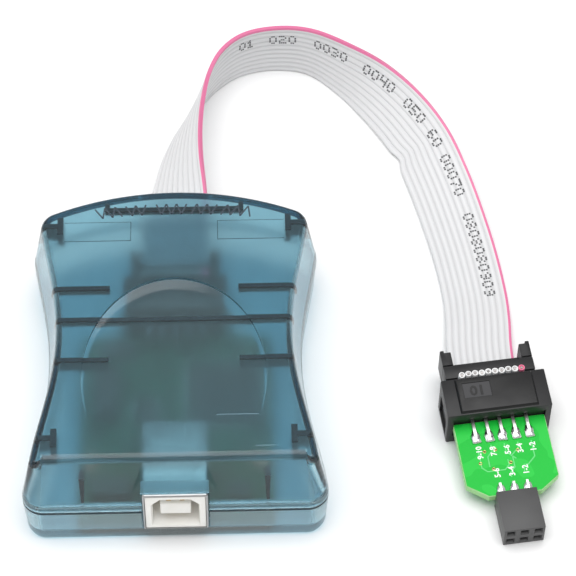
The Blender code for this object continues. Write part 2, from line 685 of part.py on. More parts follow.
def smooth_route(points, steps):
    """A smooth curve through the points, with its ends carried on straight."""
    padded = [2 * points[0] - points[1], *points, 2 * points[-1] - points[-2]]
    made = []
    for a, b, c, d in zip(padded, padded[1:], padded[2:], padded[3:]):
        for i in range(steps):
            t = i / steps
            made.append(0.5 * (2 * b + (c - a) * t + (2 * a - 5 * b + 4 * c - d) * t * t
                               + (3 * b - a - 3 * c + d) * t ** 3))
    made.append(points[-1])
    return made


def ribbon_ring(centre, along, across):
    """Corners of the ribbon's cross-section at one place of its route."""
    half = across * RIBBON_WIDTH / 2
    thick = along.cross(across).normalized() * RIBBON_THICK / 2
    return [centre - half - thick, centre + half - thick, centre + half + thick,
            centre - half + thick]


def free_rings():
    """Rings of the free ribbon, from the case to the plug."""
    samples = smooth_route(route_points(), ROUTE_STEPS)
    rings = []
    for i, sample in enumerate(samples):
        before, after = samples[max(i - 1, 0)], samples[min(i + 1, len(samples) - 1)]
        along = (after.xyz - before.xyz).normalized()
        right = Vector((along.y, -along.x, 0.0)).normalized()
        across = right * math.cos(sample.w) + right.cross(along) * math.sin(sample.w)
        rings.append(ribbon_ring(sample.xyz, along, across))
    return rings


def fold_rings(frame, outgoing):
    """Rings of one end: cut off above the crimp, down through it, folded under the cover.

    They run towards the free ribbon when outgoing is 1 and back from it when it is -1.
    """
    centre_y, centre_z = CRIMP_Y + RIBBON_FOLD, RIBBON_FOLD_Z + RIBBON_FOLD
    path = [(CRIMP_Y, RIBBON_CUT_Z, math.pi), (CRIMP_Y, centre_z + 0.5 * MM, math.pi)]
    for i in range(6):
        angle = math.pi + math.pi / 2 * i / 5
        path.append((centre_y + RIBBON_FOLD * math.cos(angle),
                     centre_z + RIBBON_FOLD * math.sin(angle), angle))
    rings = []
    for y, z, angle in path:
        along = Vector((0.0, -math.sin(angle), math.cos(angle))) * outgoing
        ring_points = ribbon_ring(Vector((0.0, y, z)), along, Vector((1.0, 0.0, 0.0)))
        rings.append([frame @ point for point in ring_points])
    return rings[::outgoing]


def make_ribbon(mats, case_frame, plug_frame):
    """The whole ribbon as one strip, from its crimp in the case to its crimp in the plug."""
    rings = fold_rings(case_frame.matrix_world, 1) + free_rings()
    rings += fold_rings(plug_frame.matrix_world, -1)
    bm = bmesh.new()
    add_loft(bm, rings)
    return finish_object("ribbon_cable", bm, mats["ribbon"])


# ---------------------------------------------------------------- assembly
def main():
    clear_scene()
    mats = make_materials()
    make_bottom_shell(mats)
    make_top_shell(mats)
    make_main_board(mats)
    make_usb_socket(mats)
    make_board_parts(mats)
    header_frame = frame_empty("header_frame", HEADER_ORIGIN)
    make_box_header("board_header", mats, header_frame, board_slot=False)
    make_board_pins(mats, header_frame)
    make_ribbon_socket("case_socket", mats, header_frame)
    plug_frame = frame_empty("plug_frame", ADAPTER_ORIGIN, ADAPTER_TURN, ADAPTER_TILT)
    make_ribbon_socket("adapter_socket", mats, plug_frame)
    make_ribbon(mats, header_frame, plug_frame)
    adapter_frame = frame_empty("adapter_frame", ADAPTER_ORIGIN, ADAPTER_TURN, ADAPTER_TILT)
    make_box_header("adapter_header", mats, adapter_frame, board_slot=True)
    make_adapter_pins(mats, adapter_frame)
    make_adapter_board(mats, adapter_frame)
    make_target_socket(mats, adapter_frame)


main()
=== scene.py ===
"""USB microcontroller programmer: the finished model, built piece by piece.

A smoky blue translucent case with a USB port and a thumb dish, a grey ribbon cable with
one red edge, and a green adapter board with a black box header and a target socket.
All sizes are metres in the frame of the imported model; MM turns millimetres into them.
"""

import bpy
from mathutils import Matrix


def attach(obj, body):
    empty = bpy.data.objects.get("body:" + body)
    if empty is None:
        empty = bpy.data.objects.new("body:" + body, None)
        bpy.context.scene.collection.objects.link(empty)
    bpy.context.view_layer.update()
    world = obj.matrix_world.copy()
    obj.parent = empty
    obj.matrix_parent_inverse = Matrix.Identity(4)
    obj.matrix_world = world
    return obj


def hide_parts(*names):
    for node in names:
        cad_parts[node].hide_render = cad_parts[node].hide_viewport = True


bl_info = {
    "name": "USB Programmer Builder",
    "version": (1, 0, 0),
    "blender": (4, 5, 0),
    "location": "3D View > Sidebar > Programmer",
    "description": "Builds a translucent USB programmer with its ribbon cable and adapter",
    "category": "Object",
}

import math
from functools import partial

import bmesh
import bpy
from mathutils import Matrix, Vector
from mathutils.bvhtree import BVHTree

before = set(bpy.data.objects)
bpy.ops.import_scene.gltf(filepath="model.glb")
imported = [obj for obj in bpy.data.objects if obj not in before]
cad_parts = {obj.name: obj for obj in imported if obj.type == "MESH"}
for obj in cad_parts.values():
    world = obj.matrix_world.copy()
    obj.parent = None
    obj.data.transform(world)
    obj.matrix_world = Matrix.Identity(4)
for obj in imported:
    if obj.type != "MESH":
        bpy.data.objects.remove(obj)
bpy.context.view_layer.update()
MM = 0.001

# ---------------------------------------------------------------- sizes kept from the frame
CASE_FRONT, CASE_REAR = -34.3 * MM, 34.7 * MM
WAIST_Y, WAIST_HALF = -2.0 * MM, 23.85 * MM
FRONT_FLARE, REAR_FLARE = (4.6 * MM, 36 * MM), (4.5 * MM, 38 * MM)
REAR_ARC, FRONT_CORNER, REAR_CORNER = 58 * MM, 4.0 * MM, 5.5 * MM
CASE_TOP, WALL = 20.0 * MM, 2.0 * MM
CEILING = CASE_TOP - WALL
RIB_ROOT = CEILING + 0.45 * MM
FRONT_RIB_X, CABLE_GATE_HALF, PORT_GAP = 16.8 * MM, 7.0 * MM, 0.15 * MM
# height, then the inset of the sides, the front and the rear, all in millimetres
BASE_PROFILE = ((0.0, 2.3, 0.95, 1.8), (0.15, 1.75, 0.7, 1.3), (0.45, 1.1, 0.4, 0.9),
                (0.9, 0.7, 0.25, 0.6), (1.4, 0.45, 0.15, 0.45), (8.0, 0.02, 0.02, 0.02),
                (8.3, 0.16, 0.16, 0.16))
LID_PROFILE = ((8.5, 0.1, 0.1, 0.1), (8.7, 0.0, 0.0, 0.0), (9.7, 0.08, 0.1, 0.08),
               (10.2, 0.25, 0.45, 0.25), (18.5, 1.75, 3.45, 1.6), (19.1, 1.9, 3.7, 1.72),
               (19.5, 2.1, 4.0, 1.95), (19.8, 2.4, 4.4, 2.25), (19.95, 2.75, 4.75, 2.6),
               (20.0, 3.2, 5.2, 3.05))
DISH_HALF_X, DISH_HALF_Y, DISH_Y = 17.0 * MM, 23.0 * MM, -12.0 * MM
DISH_FADE_Y = -21.0 * MM
BOARD_TOP = 3.4 * MM
USB_FRONT, USB_BACK, USB_HALF = -34.7 * MM, -18.4 * MM, 6.0 * MM
USB_Z = (3.45 * MM, 14.0 * MM)
PITCH, PIN = 2.54 * MM, 0.64 * MM
HEADER_HALF, HEADER_HALF_HEIGHT, HEADER_DEPTH = 9.9 * MM, 4.5 * MM, 8.1 * MM
SOCKET_HALF, SOCKET_HALF_HEIGHT = 8.6 * MM, 3.0 * MM
CRIMP_Y, COVER_Y, CLIP_END_Y = 8.75 * MM, (9.25 * MM, 11.9 * MM), 15.7 * MM
RIBBON_WIDTH, RIBBON_THICK, WIRES = 12.7 * MM, 0.9 * MM, 10
RIBBON_FOLD, RIBBON_FOLD_Z, RIBBON_CUT_Z = 1.05 * MM, -3.6 * MM, 4.3 * MM
FLOOR_CLEARANCE = 0.1 * MM
CREASE_AT, CREASE_SPREAD, CREASE_SHIFT = 123.5 * MM, 2.2 * MM, 0.9 * MM
NOSE_Y, SHOULDER_Y = -15.78 * MM, -12.98 * MM
CARD_HALF, NOSE_HALF, CARD_THICK = 8.72 * MM, 4.95 * MM, 0.8 * MM
TARGET_HALF_X, TARGET_HALF_Z, TARGET_LENGTH = 3.81 * MM, 2.54 * MM, 8.5 * MM
CASE_PLUG = Matrix.Translation((0.0, 9.0 * MM, 8.0 * MM))
ADAPTER = (Matrix.Translation((60.43 * MM, -13.0 * MM, 4.5 * MM))
           @ Matrix.Rotation(math.radians(7.25), 4, "Z")
           @ Matrix.Rotation(math.radians(4.5), 4, "X"))
# plan position, height (None lies on the surface) and roll of the marked edge in degrees
RIBBON_ROUTE = (
    (0.0, 22.2, 4.4, 0), (0.0, 25.3, 4.55, 0), (0.0, 29.0, 7.0, 0), (0.0, 32.6, 8.6, 0),
    (0.1, 36.2, 8.7, 8), (0.4, 41.5, 8.3, 27), (0.6, 48.5, 7.7, 41), (1.3, 56.0, 7.4, 52),
    (2.95, 64.0, 7.1, 64), (5.3, 71.0, None, 76), (8.9, 77.5, None, 84),
    (14.0, 81.8, None, 88), (21.0, 83.3, None, 90), (28.2, 81.9, None, 94),
    (35.7, 76.3, None, 108), (41.1, 71.3, None, 125), (46.2, 64.9, None, 140),
    (50.0, 58.1, None, 152), (52.6, 50.5, None, 162), (54.8, 42.0, None, 170),
    (57.0, 31.3, None, 177), (58.3, 21.5, None, 180), (58.5, 14.5, 1.25, 180),
    (58.25, 8.0, 2.05, 180), (58.36, 3.3, 2.17, 180), (58.8, -0.18, 1.9, 180))
# the stretch of ribbon inside the case, whose colour carries painted shade, in the UV map's length
# unit of 0.1 metre
PAINTED_SHADE_END = 0.262
# camera: the point on the floor it looks at, its bearing, height angle, distance and lens
LOOK_AT = Vector((21.8 * MM, 24.27 * MM, 0.0))
CAMERA_BEARING, CAMERA_ELEVATION = math.radians(1.4), math.radians(51.0)
CAMERA_DISTANCE, CAMERA_LENS = 0.556, 176.6
# the case plastic: roughness of its polished outside, and how much its frost varies
POLISHED, FROST_GRAIN = 0.13, 0.06
# two fine pale lines on the lid: from x, to x and y in millimetres
PALE_LINES = ((7.8, 15.4, -21.05), (14.8, 18.5, -28.1))
# strokes along the rear of the lid, counted from the middle, and the places left empty
REAR_STROKES, REAR_BLANKS, STROKE_PITCH = range(-15, 16), (-10, -5, -4, 3, 9), 0.96 * MM
# chip resistors and capacitors on the main board: x and y in millimetres, turn in degrees
SMALL_PARTS = ((-15, -14, 0), (-15, -11, 0), (-9.5, -16.5, 90), (-6.5, -16.5, 90), (13, -17, 90),
               (16.2, -13.5, 0), (16.2, -10.5, 0), (-1.5, -9.5, 90), (-1.0, -5.5, 90),
               (-16, 1.5, 90), (-5.5, 0.2, 0), (-2.0, 0.2, 0), (2.4, 4.2, 90), (15.5, 5.6, 0),
               (11.8, 5.6, 0), (-9.3, -3.0, 90), (-16.2, -22.6, 0), (8.0, -22.5, 90))
# digits and the distance of each group's middle from the cut end in the case, in millimetres
PRINTED_GROUPS = (("01", 77.0), ("020", 84.9), ("0030", 95.6), ("0040", 107.2), ("050", 117.2),
                  ("60", 124.4), ("00070", 133.5), ("0808080909", 153.0))
DOT_DIGITS = {
    "0": (".xx.", "x..x", "x..x", "x..x", ".xx."), "1": (".x..", "xx..", ".x..", ".x..", "xxx."),
    "2": ("xxx.", "...x", ".xx.", "x...", "xxxx"), "3": ("xxx.", "...x", ".xx.", "...x", "xxx."),
    "4": ("x..x", "x..x", "xxxx", "...x", "...x"), "5": ("xxxx", "x...", "xxx.", "...x", "xxx."),
    "6": (".xx.", "x...", "xxx.", "x..x", ".xx."), "7": ("xxxx", "...x", "..x.", ".x..", ".x.."),
    "8": (".xx.", "x..x", ".xx.", "x..x", ".xx."), "9": (".xx.", "x..x", ".xxx", "...x", ".xx."),
}
LETTER_PITCH, DOT_COLUMN, DOT_ROW, TOP_ROW = 2.05 * MM, 0.42 * MM, 0.46 * MM, 4.05 * MM
# the faces of a printed dot; a corner is its end, its edge and its level
DOT_FACES = (((0, 0, 1), (0, 1, 1), (1, 1, 1), (1, 0, 1)),
             ((0, 0, 0), (1, 0, 0), (1, 1, 0), (0, 1, 0)),
             ((0, 0, 0), (0, 1, 0), (0, 1, 1), (0, 0, 1)),
             ((1, 0, 0), (1, 0, 1), (1, 1, 1), (1, 1, 0)),
             ((0, 0, 0), (0, 0, 1), (1, 0, 1), (1, 0, 0)),
             ((0, 1, 0), (1, 1, 0), (1, 1, 1), (0, 1, 1)))
# the adapter board: drilled vias and copper tracks, x and y in millimetres
VIA_PLACES = ((-4.0, -6.2), (-1.9, -6.0), (0.4, -9.1), (-5.2, -8.6), (-3.0, -10.1), (2.2, -6.6))
TRACES = (((-5.1, -4.9), (-5.1, -9.6), (-4.2, -10.5), (-0.9, -10.5), (0.0, -9.6), (0.0, -8.4)),
          ((-2.54, -4.9), (-2.54, -6.2), (-3.6, -7.4), (-3.6, -9.6)),
          ((0.0, -4.9), (0.0, -6.8), (1.6, -8.4)),
          ((2.54, -4.9), (2.54, -6.0), (1.0, -7.5), (1.0, -10.2), (0.0, -11.2), (0.0, -12.2)),
          ((5.1, -4.9), (5.1, -8.4), (3.6, -9.9), (2.8, -9.9), (2.54, -11.6)))
# its printed pin numbers: y of the row, the labels and their x, in millimetres
LEGEND = ((-6.3, ("9-10", "7-8", "5-6", "3-4", "1-2"), (-4.9, -2.3, 0.35, 2.75, 5.2)),
          (-11.0, ("5-6", "3-4", "1-2"), (-2.5, 0.25, 2.9)))


# ---------------------------------------------------------------- settings a user would change
def colour_setting(name, description, default):
    """A colour that the user can pick."""
    return bpy.props.FloatVectorProperty(name=name, description=description, default=default,
                                         subtype="COLOR", size=3, min=0.0, max=1.0)


class CaseSettings(bpy.types.PropertyGroup):
    tint: colour_setting("Plastic tint", "Colour of light that has crossed the case's walls",
                         (0.04, 0.42, 0.54))
    density: bpy.props.FloatProperty(
        name="Smokiness", description="How strongly the plastic absorbs light, per metre",
        default=275.0, min=0.0)
    frost: bpy.props.FloatProperty(
        name="Frost", description="Roughness that blurs what is inside the case",
        default=0.34, min=0.0, max=1.0, subtype="FACTOR")
    dish_depth: bpy.props.FloatProperty(
        name="Thumb dish depth", description="Depth of the oval dish at its rear edge",
        default=0.9 * MM, unit="LENGTH")
    outline_steps: bpy.props.IntProperty(
        name="Outline steps", description="Points along each flared side of the outline",
        default=34, min=8)


class CableSettings(bpy.types.PropertyGroup):
    jacket: colour_setting("Jacket", "Colour of the ribbon's insulation", (0.74, 0.74, 0.75))
    marked_edge: colour_setting("Marked edge", "Colour of the first wire", (0.78, 0.19, 0.37))
    steps: bpy.props.IntProperty(name="Route steps", default=8, min=3,
                                 description="Rings between two points of the ribbon's route")
    ridge: bpy.props.FloatProperty(
        name="Ridge height", description="How far each wire stands out of the ribbon",
        default=0.16 * MM, unit="LENGTH")


class BoardSettings(bpy.types.PropertyGroup):
    adapter_green: colour_setting("Adapter green", "Solder mask of the adapter board",
                                  (0.005, 0.5, 0.04))
    main_green: colour_setting("Main board green", "Solder mask of the board in the case",
                               (0.012, 0.07, 0.035))
    plastic: colour_setting("Connector plastic", "Colour of the headers and sockets",
                            (0.016, 0.016, 0.017))


class StageSettings(bpy.types.PropertyGroup):
    floor: colour_setting("Floor", "Colour of the plain floor", (0.93, 0.93, 0.93))
    world: bpy.props.FloatProperty(name="Surround", default=0.45, min=0.0,
                                   description="Strength of the light from all around")
    key: bpy.props.FloatProperty(name="Softbox", default=7.0, min=0.0, unit="POWER",
                                 description="Power of the large lamp overhead")


# ---------------------------------------------------------------- modelling helpers
def deselect():
    if bpy.context.object and bpy.context.object.mode != "OBJECT":
        bpy.ops.object.mode_set(mode="OBJECT")
    bpy.ops.object.select_all(action="DESELECT")


def activate(obj):
    deselect()
    obj.select_set(True)
    bpy.context.view_layer.objects.active = obj


def named(obj, name):
    obj.name = name
    obj.data.name = name
    return obj


def settle(obj, matrix=None):
    """Put a piece in place, with its place in its mesh."""
    activate(obj)
    if matrix is not None:
        obj.matrix_world = matrix @ obj.matrix_world
    bpy.ops.object.transform_apply(location=True, rotation=True, scale=True)
    return obj


def add_cube(name, low, high):
    """A box between two corners."""
    deselect()
    low, high = Vector(low), Vector(high)
    bpy.ops.mesh.primitive_cube_add(size=1.0, location=(low + high) / 2)
    obj = bpy.context.object
    bpy.ops.transform.resize(value=tuple(high - low))
    return settle(named(obj, name))


def side_box(name, side, inner, outer, low, high):
    """A box from one distance to another off the middle plane, on the left (-1) or right (1)."""
    near, far = sorted((side * inner, side * outer))
    return add_cube(name, (near, *low), (far, *high))


def add_cylinder(name, radius, depth, location, vertices=20, rotation=(0, 0, 0)):
    deselect()
    bpy.ops.mesh.primitive_cylinder_add(vertices=vertices, radius=radius, depth=depth,
                                        location=location, rotation=rotation)
    return settle(named(bpy.context.object, name))


def select_faces(obj, test):
    """Enter edit mode with only the faces selected whose centre and normal pass the test."""
    activate(obj)
    bpy.ops.object.mode_set(mode="EDIT")
    bpy.ops.mesh.select_mode(type="FACE")
    bpy.ops.mesh.select_all(action="DESELECT")
    mesh = bmesh.from_edit_mesh(obj.data)
    for face in mesh.faces:
        face.select_set(test(face.calc_center_median(), face.normal))
    bmesh.update_edit_mesh(obj.data)


def inset_faces(obj, test, thickness, depth=0.0):
    select_faces(obj, test)
    bpy.ops.mesh.inset(thickness=thickness, depth=depth)
    bpy.ops.object.mode_set(mode="OBJECT")


def extrude_faces(obj, test, move, scale=None):
    """Extrude the chosen faces by a move and then, if asked, shrink or widen them."""
    select_faces(obj, test)
    bpy.ops.mesh.extrude_region_move(TRANSFORM_OT_translate={"value": move})
    if scale:
        bpy.ops.transform.resize(value=scale)
    bpy.ops.object.mode_set(mode="OBJECT")


def modifier(obj, kind, **values):
    """Add a modifier, set it and apply it."""
    activate(obj)
    mod = obj.modifiers.new(kind.title(), kind)
    for key, value in values.items():
        setattr(mod, key, value)
    bpy.ops.object.modifier_apply(modifier=mod.name)
    return obj


def bevel(obj, width, segments=2, angle=30):
    return modifier(obj, "BEVEL", width=width, segments=segments, limit_method="ANGLE",
                    angle_limit=math.radians(angle), harden_normals=False)


def combine(obj, tool, operation):
    """Add or cut a tool solid, which is then removed. Thin walls need the larger scale."""
    for part in (obj, tool):
        part.data.transform(Matrix.Scale(1 / MM, 4))
    modifier(obj, "BOOLEAN", operation=operation, solver="EXACT", object=tool)
    obj.data.transform(Matrix.Scale(MM, 4))
    discard(tool)
    if not obj.data.polygons:
        raise RuntimeError(f"{obj.name}: nothing is left after {operation}")
    return obj


def cut(obj, tool):
    return combine(obj, tool, "DIFFERENCE")


def join(objects, name):
    activate(objects[0])
    for obj in objects:
        obj.select_set(True)
    if len(objects) > 1:
        bpy.ops.object.join()
    return named(bpy.context.object, name)


def copy_at(obj, name, matrix):
    """A copy with its own mesh, moved by a matrix."""
    twin = obj.copy()
    twin.data = obj.data.copy()
    bpy.context.collection.objects.link(twin)
    return settle(named(twin, name), matrix)


def discard(*objects):
    for obj in objects:
        bpy.data.objects.remove(obj, do_unlink=True)


def copies(pattern, name, places):
    """Copies of a pattern at every place joined into one piece; the pattern is removed."""
    made = [copy_at(pattern, f"{name}_{i}", place) for i, place in enumerate(places)]
    discard(pattern)
    return join(made, name)


def mesh_object(name, mesh):
    """An object from a finished bmesh, with its normals outward."""
    bmesh.ops.recalc_face_normals(mesh, faces=mesh.faces)
    data = bpy.data.meshes.new(name)
    mesh.to_mesh(data)
    mesh.free()
    obj = bpy.data.objects.new(name, data)
    bpy.context.collection.objects.link(obj)
    return obj


def smooth(obj, angle=35):
    activate(obj)
    bpy.ops.object.shade_smooth_by_angle(angle=math.radians(angle))
    return obj


def weighted_normals(obj):
    """Large flat faces keep their true shading next to rounded edges."""
    return modifier(obj, "WEIGHTED_NORMAL", keep_sharp=True, weight=80)


def mark_frosted(obj, opening):
    """Mark the faces inside a shell whose open side faces up (1) or down (-1)."""
    mesh = bmesh.new()
    mesh.from_mesh(obj.data)
    tree = BVHTree.FromBMesh(mesh)
    marks = []
    for face in mesh.faces:
        start = face.calc_center_median() + face.normal * 0.02 * MM
        hidden = tree.ray_cast(start, face.normal)[0] is not None
        marks.append(1.0 if hidden or face.normal.z * opening > 0.3 else 0.0)
    mesh.free()
    layer = obj.data.attributes.new("frosted", "FLOAT", "FACE")
    layer.data.foreach_set("value", marks)
    return obj


def bridged(name, rings):
    """A closed solid through a chain of rings: a filled ring, extruded from ring to ring."""
    deselect()
    bpy.ops.mesh.primitive_circle_add(vertices=len(rings[0]), radius=1.0, fill_type="NGON")
    obj = named(bpy.context.object, name)
    for vert, point in zip(obj.data.vertices, rings[0]):
        vert.co = point
    select_faces(obj, lambda centre, normal: True)
    for near, far in zip(rings, rings[1:]):
        bpy.ops.mesh.extrude_region_move()
        mesh = bmesh.from_edit_mesh(obj.data)
        for vert in [v for v in mesh.verts if v.select]:
            index = min(range(len(near)), key=lambda i: (near[i] - vert.co).length_squared)
            vert.co = far[index]
        bmesh.update_edit_mesh(obj.data)
    bpy.ops.object.mode_set(mode="OBJECT")
    return outward(obj)


def outward(obj):
    """Turn every face normal outward."""
    activate(obj)
    bpy.ops.object.mode_set(mode="EDIT")
    bpy.ops.mesh.select_all(action="SELECT")
    bpy.ops.mesh.normals_make_consistent(inside=False)
    bpy.ops.object.mode_set(mode="OBJECT")
    return obj


def text_mesh(name, words, height, thick, matrix):
    """Raised characters lying in the XY plane of a matrix, centred on its origin."""
    deselect()
    bpy.ops.object.text_add()
    obj = bpy.context.object
    obj.data.body = words
    obj.data.size = height * 1.4
    obj.data.align_x, obj.data.align_y = "CENTER", "CENTER"
    obj.data.extrude = thick / 2
    obj.data.offset = height * 0.035
    obj.data.resolution_u = 2
    bpy.ops.object.convert(target="MESH")
    return settle(named(bpy.context.object, name), matrix)


def finish_piece(obj, body, materials, replaces=()):
    """Give a piece its materials and body, and hide the CAD nodes it stands for."""
    obj.data.materials.clear()
    for material in materials if isinstance(materials, (list, tuple)) else [materials]:
        obj.data.materials.append(material)
    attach(obj, body)
    if replaces:
        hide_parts(*replaces)
    return obj


def paint_node(name, material):
    """A CAD node that is kept gets a finished material in place of its plain one."""
    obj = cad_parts[name]
    for place in obj.material_slots:
        place.link = "OBJECT"
        place.material = material
    return obj


# ---------------------------------------------------------------- material helpers
def new_material(name, **inputs):
    """A Principled material; returns the material, its node tree and its shader."""
    mat = bpy.data.materials.new(name)
    mat.use_nodes = True
    tree = mat.node_tree
    shader = tree.nodes["Principled BSDF"]
    for key, value in inputs.items():
        shader.inputs[key.replace("_", " ")].default_value = value
    return mat, tree, shader


def rgba(colour):
    return (*colour, 1.0)


def noise(tree, scale, detail=3.0, roughness=0.5):
    """Noise over the piece's own coordinates; scale is in features per metre."""
    place = tree.nodes.new("ShaderNodeTexCoord")
    node = tree.nodes.new("ShaderNodeTexNoise")
    node.inputs["Scale"].default_value = scale
    node.inputs["Detail"].default_value = detail
    node.inputs["Roughness"].default_value = roughness
    tree.links.new(place.outputs["Object"], node.inputs["Vector"])
    return node


def add_bump(tree, shader, source, strength, distance):
    """Let a value stand for height on the surface."""
    bump = tree.nodes.new("ShaderNodeBump")
    bump.inputs["Strength"].default_value = strength
    bump.inputs["Distance"].default_value = distance
    tree.links.new(source, bump.inputs["Height"])
    tree.links.new(bump.outputs["Normal"], shader.inputs["Normal"])


def vary(tree, source, target, low, high):
    """Feed a 0 to 1 value into a socket as a value between low and high."""
    spread = tree.nodes.new("ShaderNodeMapRange")
    spread.inputs["From Min"].default_value = 0.3
    spread.inputs["From Max"].default_value = 0.7
    spread.inputs["To Min"].default_value = low
    spread.inputs["To Max"].default_value = high
    tree.links.new(source, spread.inputs["Value"])
    tree.links.new(spread.outputs["Result"], target)


def mix_colour(tree, factor, first, second, target=None):
    """Blend two colours (or sockets) by a factor socket into a colour socket."""
    node = tree.nodes.new("ShaderNodeMix")
    node.data_type = "RGBA"
    tree.links.new(factor, node.inputs[0])
    for socket, value in ((node.inputs[6], first), (node.inputs[7], second)):
        if isinstance(value, bpy.types.NodeSocket):
            tree.links.new(value, socket)
        else:
            socket.default_value = rgba(value)
    if target:
        tree.links.new(node.outputs[2], target)
    return node.outputs[2]


def maths(tree, operation, *values):
    """A maths node on numbers and sockets; returns its result."""
    node = tree.nodes.new("ShaderNodeMath")
    node.operation = operation
    for socket, value in zip(node.inputs, values):
        if isinstance(value, (int, float)):
            socket.default_value = value
        else:
            tree.links.new(value, socket)
    return node.outputs[0]


def shade(colour, factor):
    """A colour made darker or lighter by a factor."""
    return tuple(min(1.0, c * factor) for c in colour)


# ---------------------------------------------------------------- finishes
def clear_plastic(name, settings, density, clearness):
    """Smoky blue translucent plastic: glossy outside, frosted within, darker where thick."""
    mat, tree, shader = new_material(name, Base_Color=(0.8, 0.95, 0.98, 1.0),
                                     Transmission_Weight=clearness, IOR=1.49,
                                     Specular_IOR_Level=0.32)
    frosted = tree.nodes.new("ShaderNodeAttribute")
    frosted.attribute_name = "frosted"
    grain = noise(tree, 1400.0, 4.0)
    uneven = maths(tree, "MULTIPLY_ADD", grain.outputs["Fac"], FROST_GRAIN,
                   settings.frost - POLISHED - FROST_GRAIN / 3)
    roughness = maths(tree, "MULTIPLY_ADD", frosted.outputs["Fac"], uneven, POLISHED)
    tree.links.new(roughness, shader.inputs["Roughness"])
    absorb = tree.nodes.new("ShaderNodeVolumeAbsorption")
    absorb.inputs["Color"].default_value = rgba(settings.tint)
    absorb.inputs["Density"].default_value = density
    output = tree.nodes["Material Output"]
    tree.links.new(absorb.outputs["Volume"], output.inputs["Volume"])
    lamp_rays = tree.nodes.new("ShaderNodeLightPath")
    passing = tree.nodes.new("ShaderNodeBsdfTransparent")
    passing.inputs["Color"].default_value = (0.62, 0.79, 0.84, 1.0)
    blend = tree.nodes.new("ShaderNodeMixShader")
    tree.links.new(lamp_rays.outputs["Is Shadow Ray"], blend.inputs[0])
    tree.links.new(shader.outputs["BSDF"], blend.inputs[1])
    tree.links.new(passing.outputs["BSDF"], blend.inputs[2])
    tree.links.new(blend.outputs["Shader"], output.inputs["Surface"])
    return mat


def moulded_plastic(name, colour, roughness=0.42, grain_height=0.02 * MM):
    """Opaque moulded plastic with a fine grain and slightly uneven gloss."""
    mat, tree, shader = new_material(name, Base_Color=rgba(colour), Roughness=roughness,
                                     Specular_IOR_Level=0.4)
    fine = noise(tree, 5200.0, 3.0)
    broad = noise(tree, 260.0, 2.0)
    vary(tree, broad.outputs["Fac"], shader.inputs["Roughness"], roughness - 0.06,
         roughness + 0.08)
    mix_colour(tree, broad.outputs["Fac"], shade(colour, 0.88), shade(colour, 1.15),
               shader.inputs["Base Color"])
    add_bump(tree, shader, fine.outputs["Fac"], 0.35, grain_height)
    return mat


def plated_metal(name, colour, roughness=0.28):
    """Plated or tinned metal with a faintly uneven surface."""
    mat, tree, shader = new_material(name, Base_Color=rgba(colour), Metallic=1.0,
                                     Roughness=roughness)
    rolled = noise(tree, 900.0, 5.0)
    vary(tree, rolled.outputs["Fac"], shader.inputs["Roughness"], roughness - 0.08,
         roughness + 0.12)
    mix_colour(tree, rolled.outputs["Fac"], shade(colour, 0.9), colour,
               shader.inputs["Base Color"])
    add_bump(tree, shader, rolled.outputs["Fac"], 0.15, 0.02 * MM)
    return mat


def solder_metal(name):
    """Bright solder with the soft waves it freezes in."""
    mat, tree, shader = new_material(name, Base_Color=(0.86, 0.86, 0.87, 1.0), Metallic=1.0,
                                     Roughness=0.24)
    waves = noise(tree, 1500.0, 2.0)
    vary(tree, waves.outputs["Fac"], shader.inputs["Roughness"], 0.16, 0.36)
    add_bump(tree, shader, waves.outputs["Fac"], 0.5, 0.12 * MM)
    return mat


def solder_mask(name, colour, copper_scale):
    """Green lacquer over copper: paler where copper lies beneath, with a glossy skin."""
    mat, tree, shader = new_material(name, Base_Color=rgba(colour), Roughness=0.4,
                                     Specular_IOR_Level=0.3)
    weave = noise(tree, 2600.0, 2.0)
    pour = noise(tree, copper_scale, 1.0, 0.3)
    step = maths(tree, "GREATER_THAN", pour.outputs["Fac"], 0.54)
    mix_colour(tree, step, colour, tuple(min(1.0, c * 1.1 + 0.01) for c in colour),
               shader.inputs["Base Color"])
    vary(tree, weave.outputs["Fac"], shader.inputs["Roughness"], 0.36, 0.5)
    add_bump(tree, shader, weave.outputs["Fac"], 0.12, 0.02 * MM)
    return mat


def glass_fibre(name):
    """The cut edge of a circuit board: pale resin with faint layers."""
    mat, tree, shader = new_material(name, Base_Color=(0.34, 0.66, 0.27, 1.0), Roughness=0.6)
    place = tree.nodes.new("ShaderNodeTexCoord")
    layers = tree.nodes.new("ShaderNodeTexWave")
    layers.bands_direction = "Z"
    layers.inputs["Scale"].default_value = 900.0
    layers.inputs["Distortion"].default_value = 3.0
    tree.links.new(place.outputs["Object"], layers.inputs["Vector"])
    mix_colour(tree, layers.outputs["Fac"], (0.28, 0.60, 0.22), (0.42, 0.72, 0.34),
               shader.inputs["Base Color"])
    add_bump(tree, shader, layers.outputs["Fac"], 0.2, 0.03 * MM)
    return mat


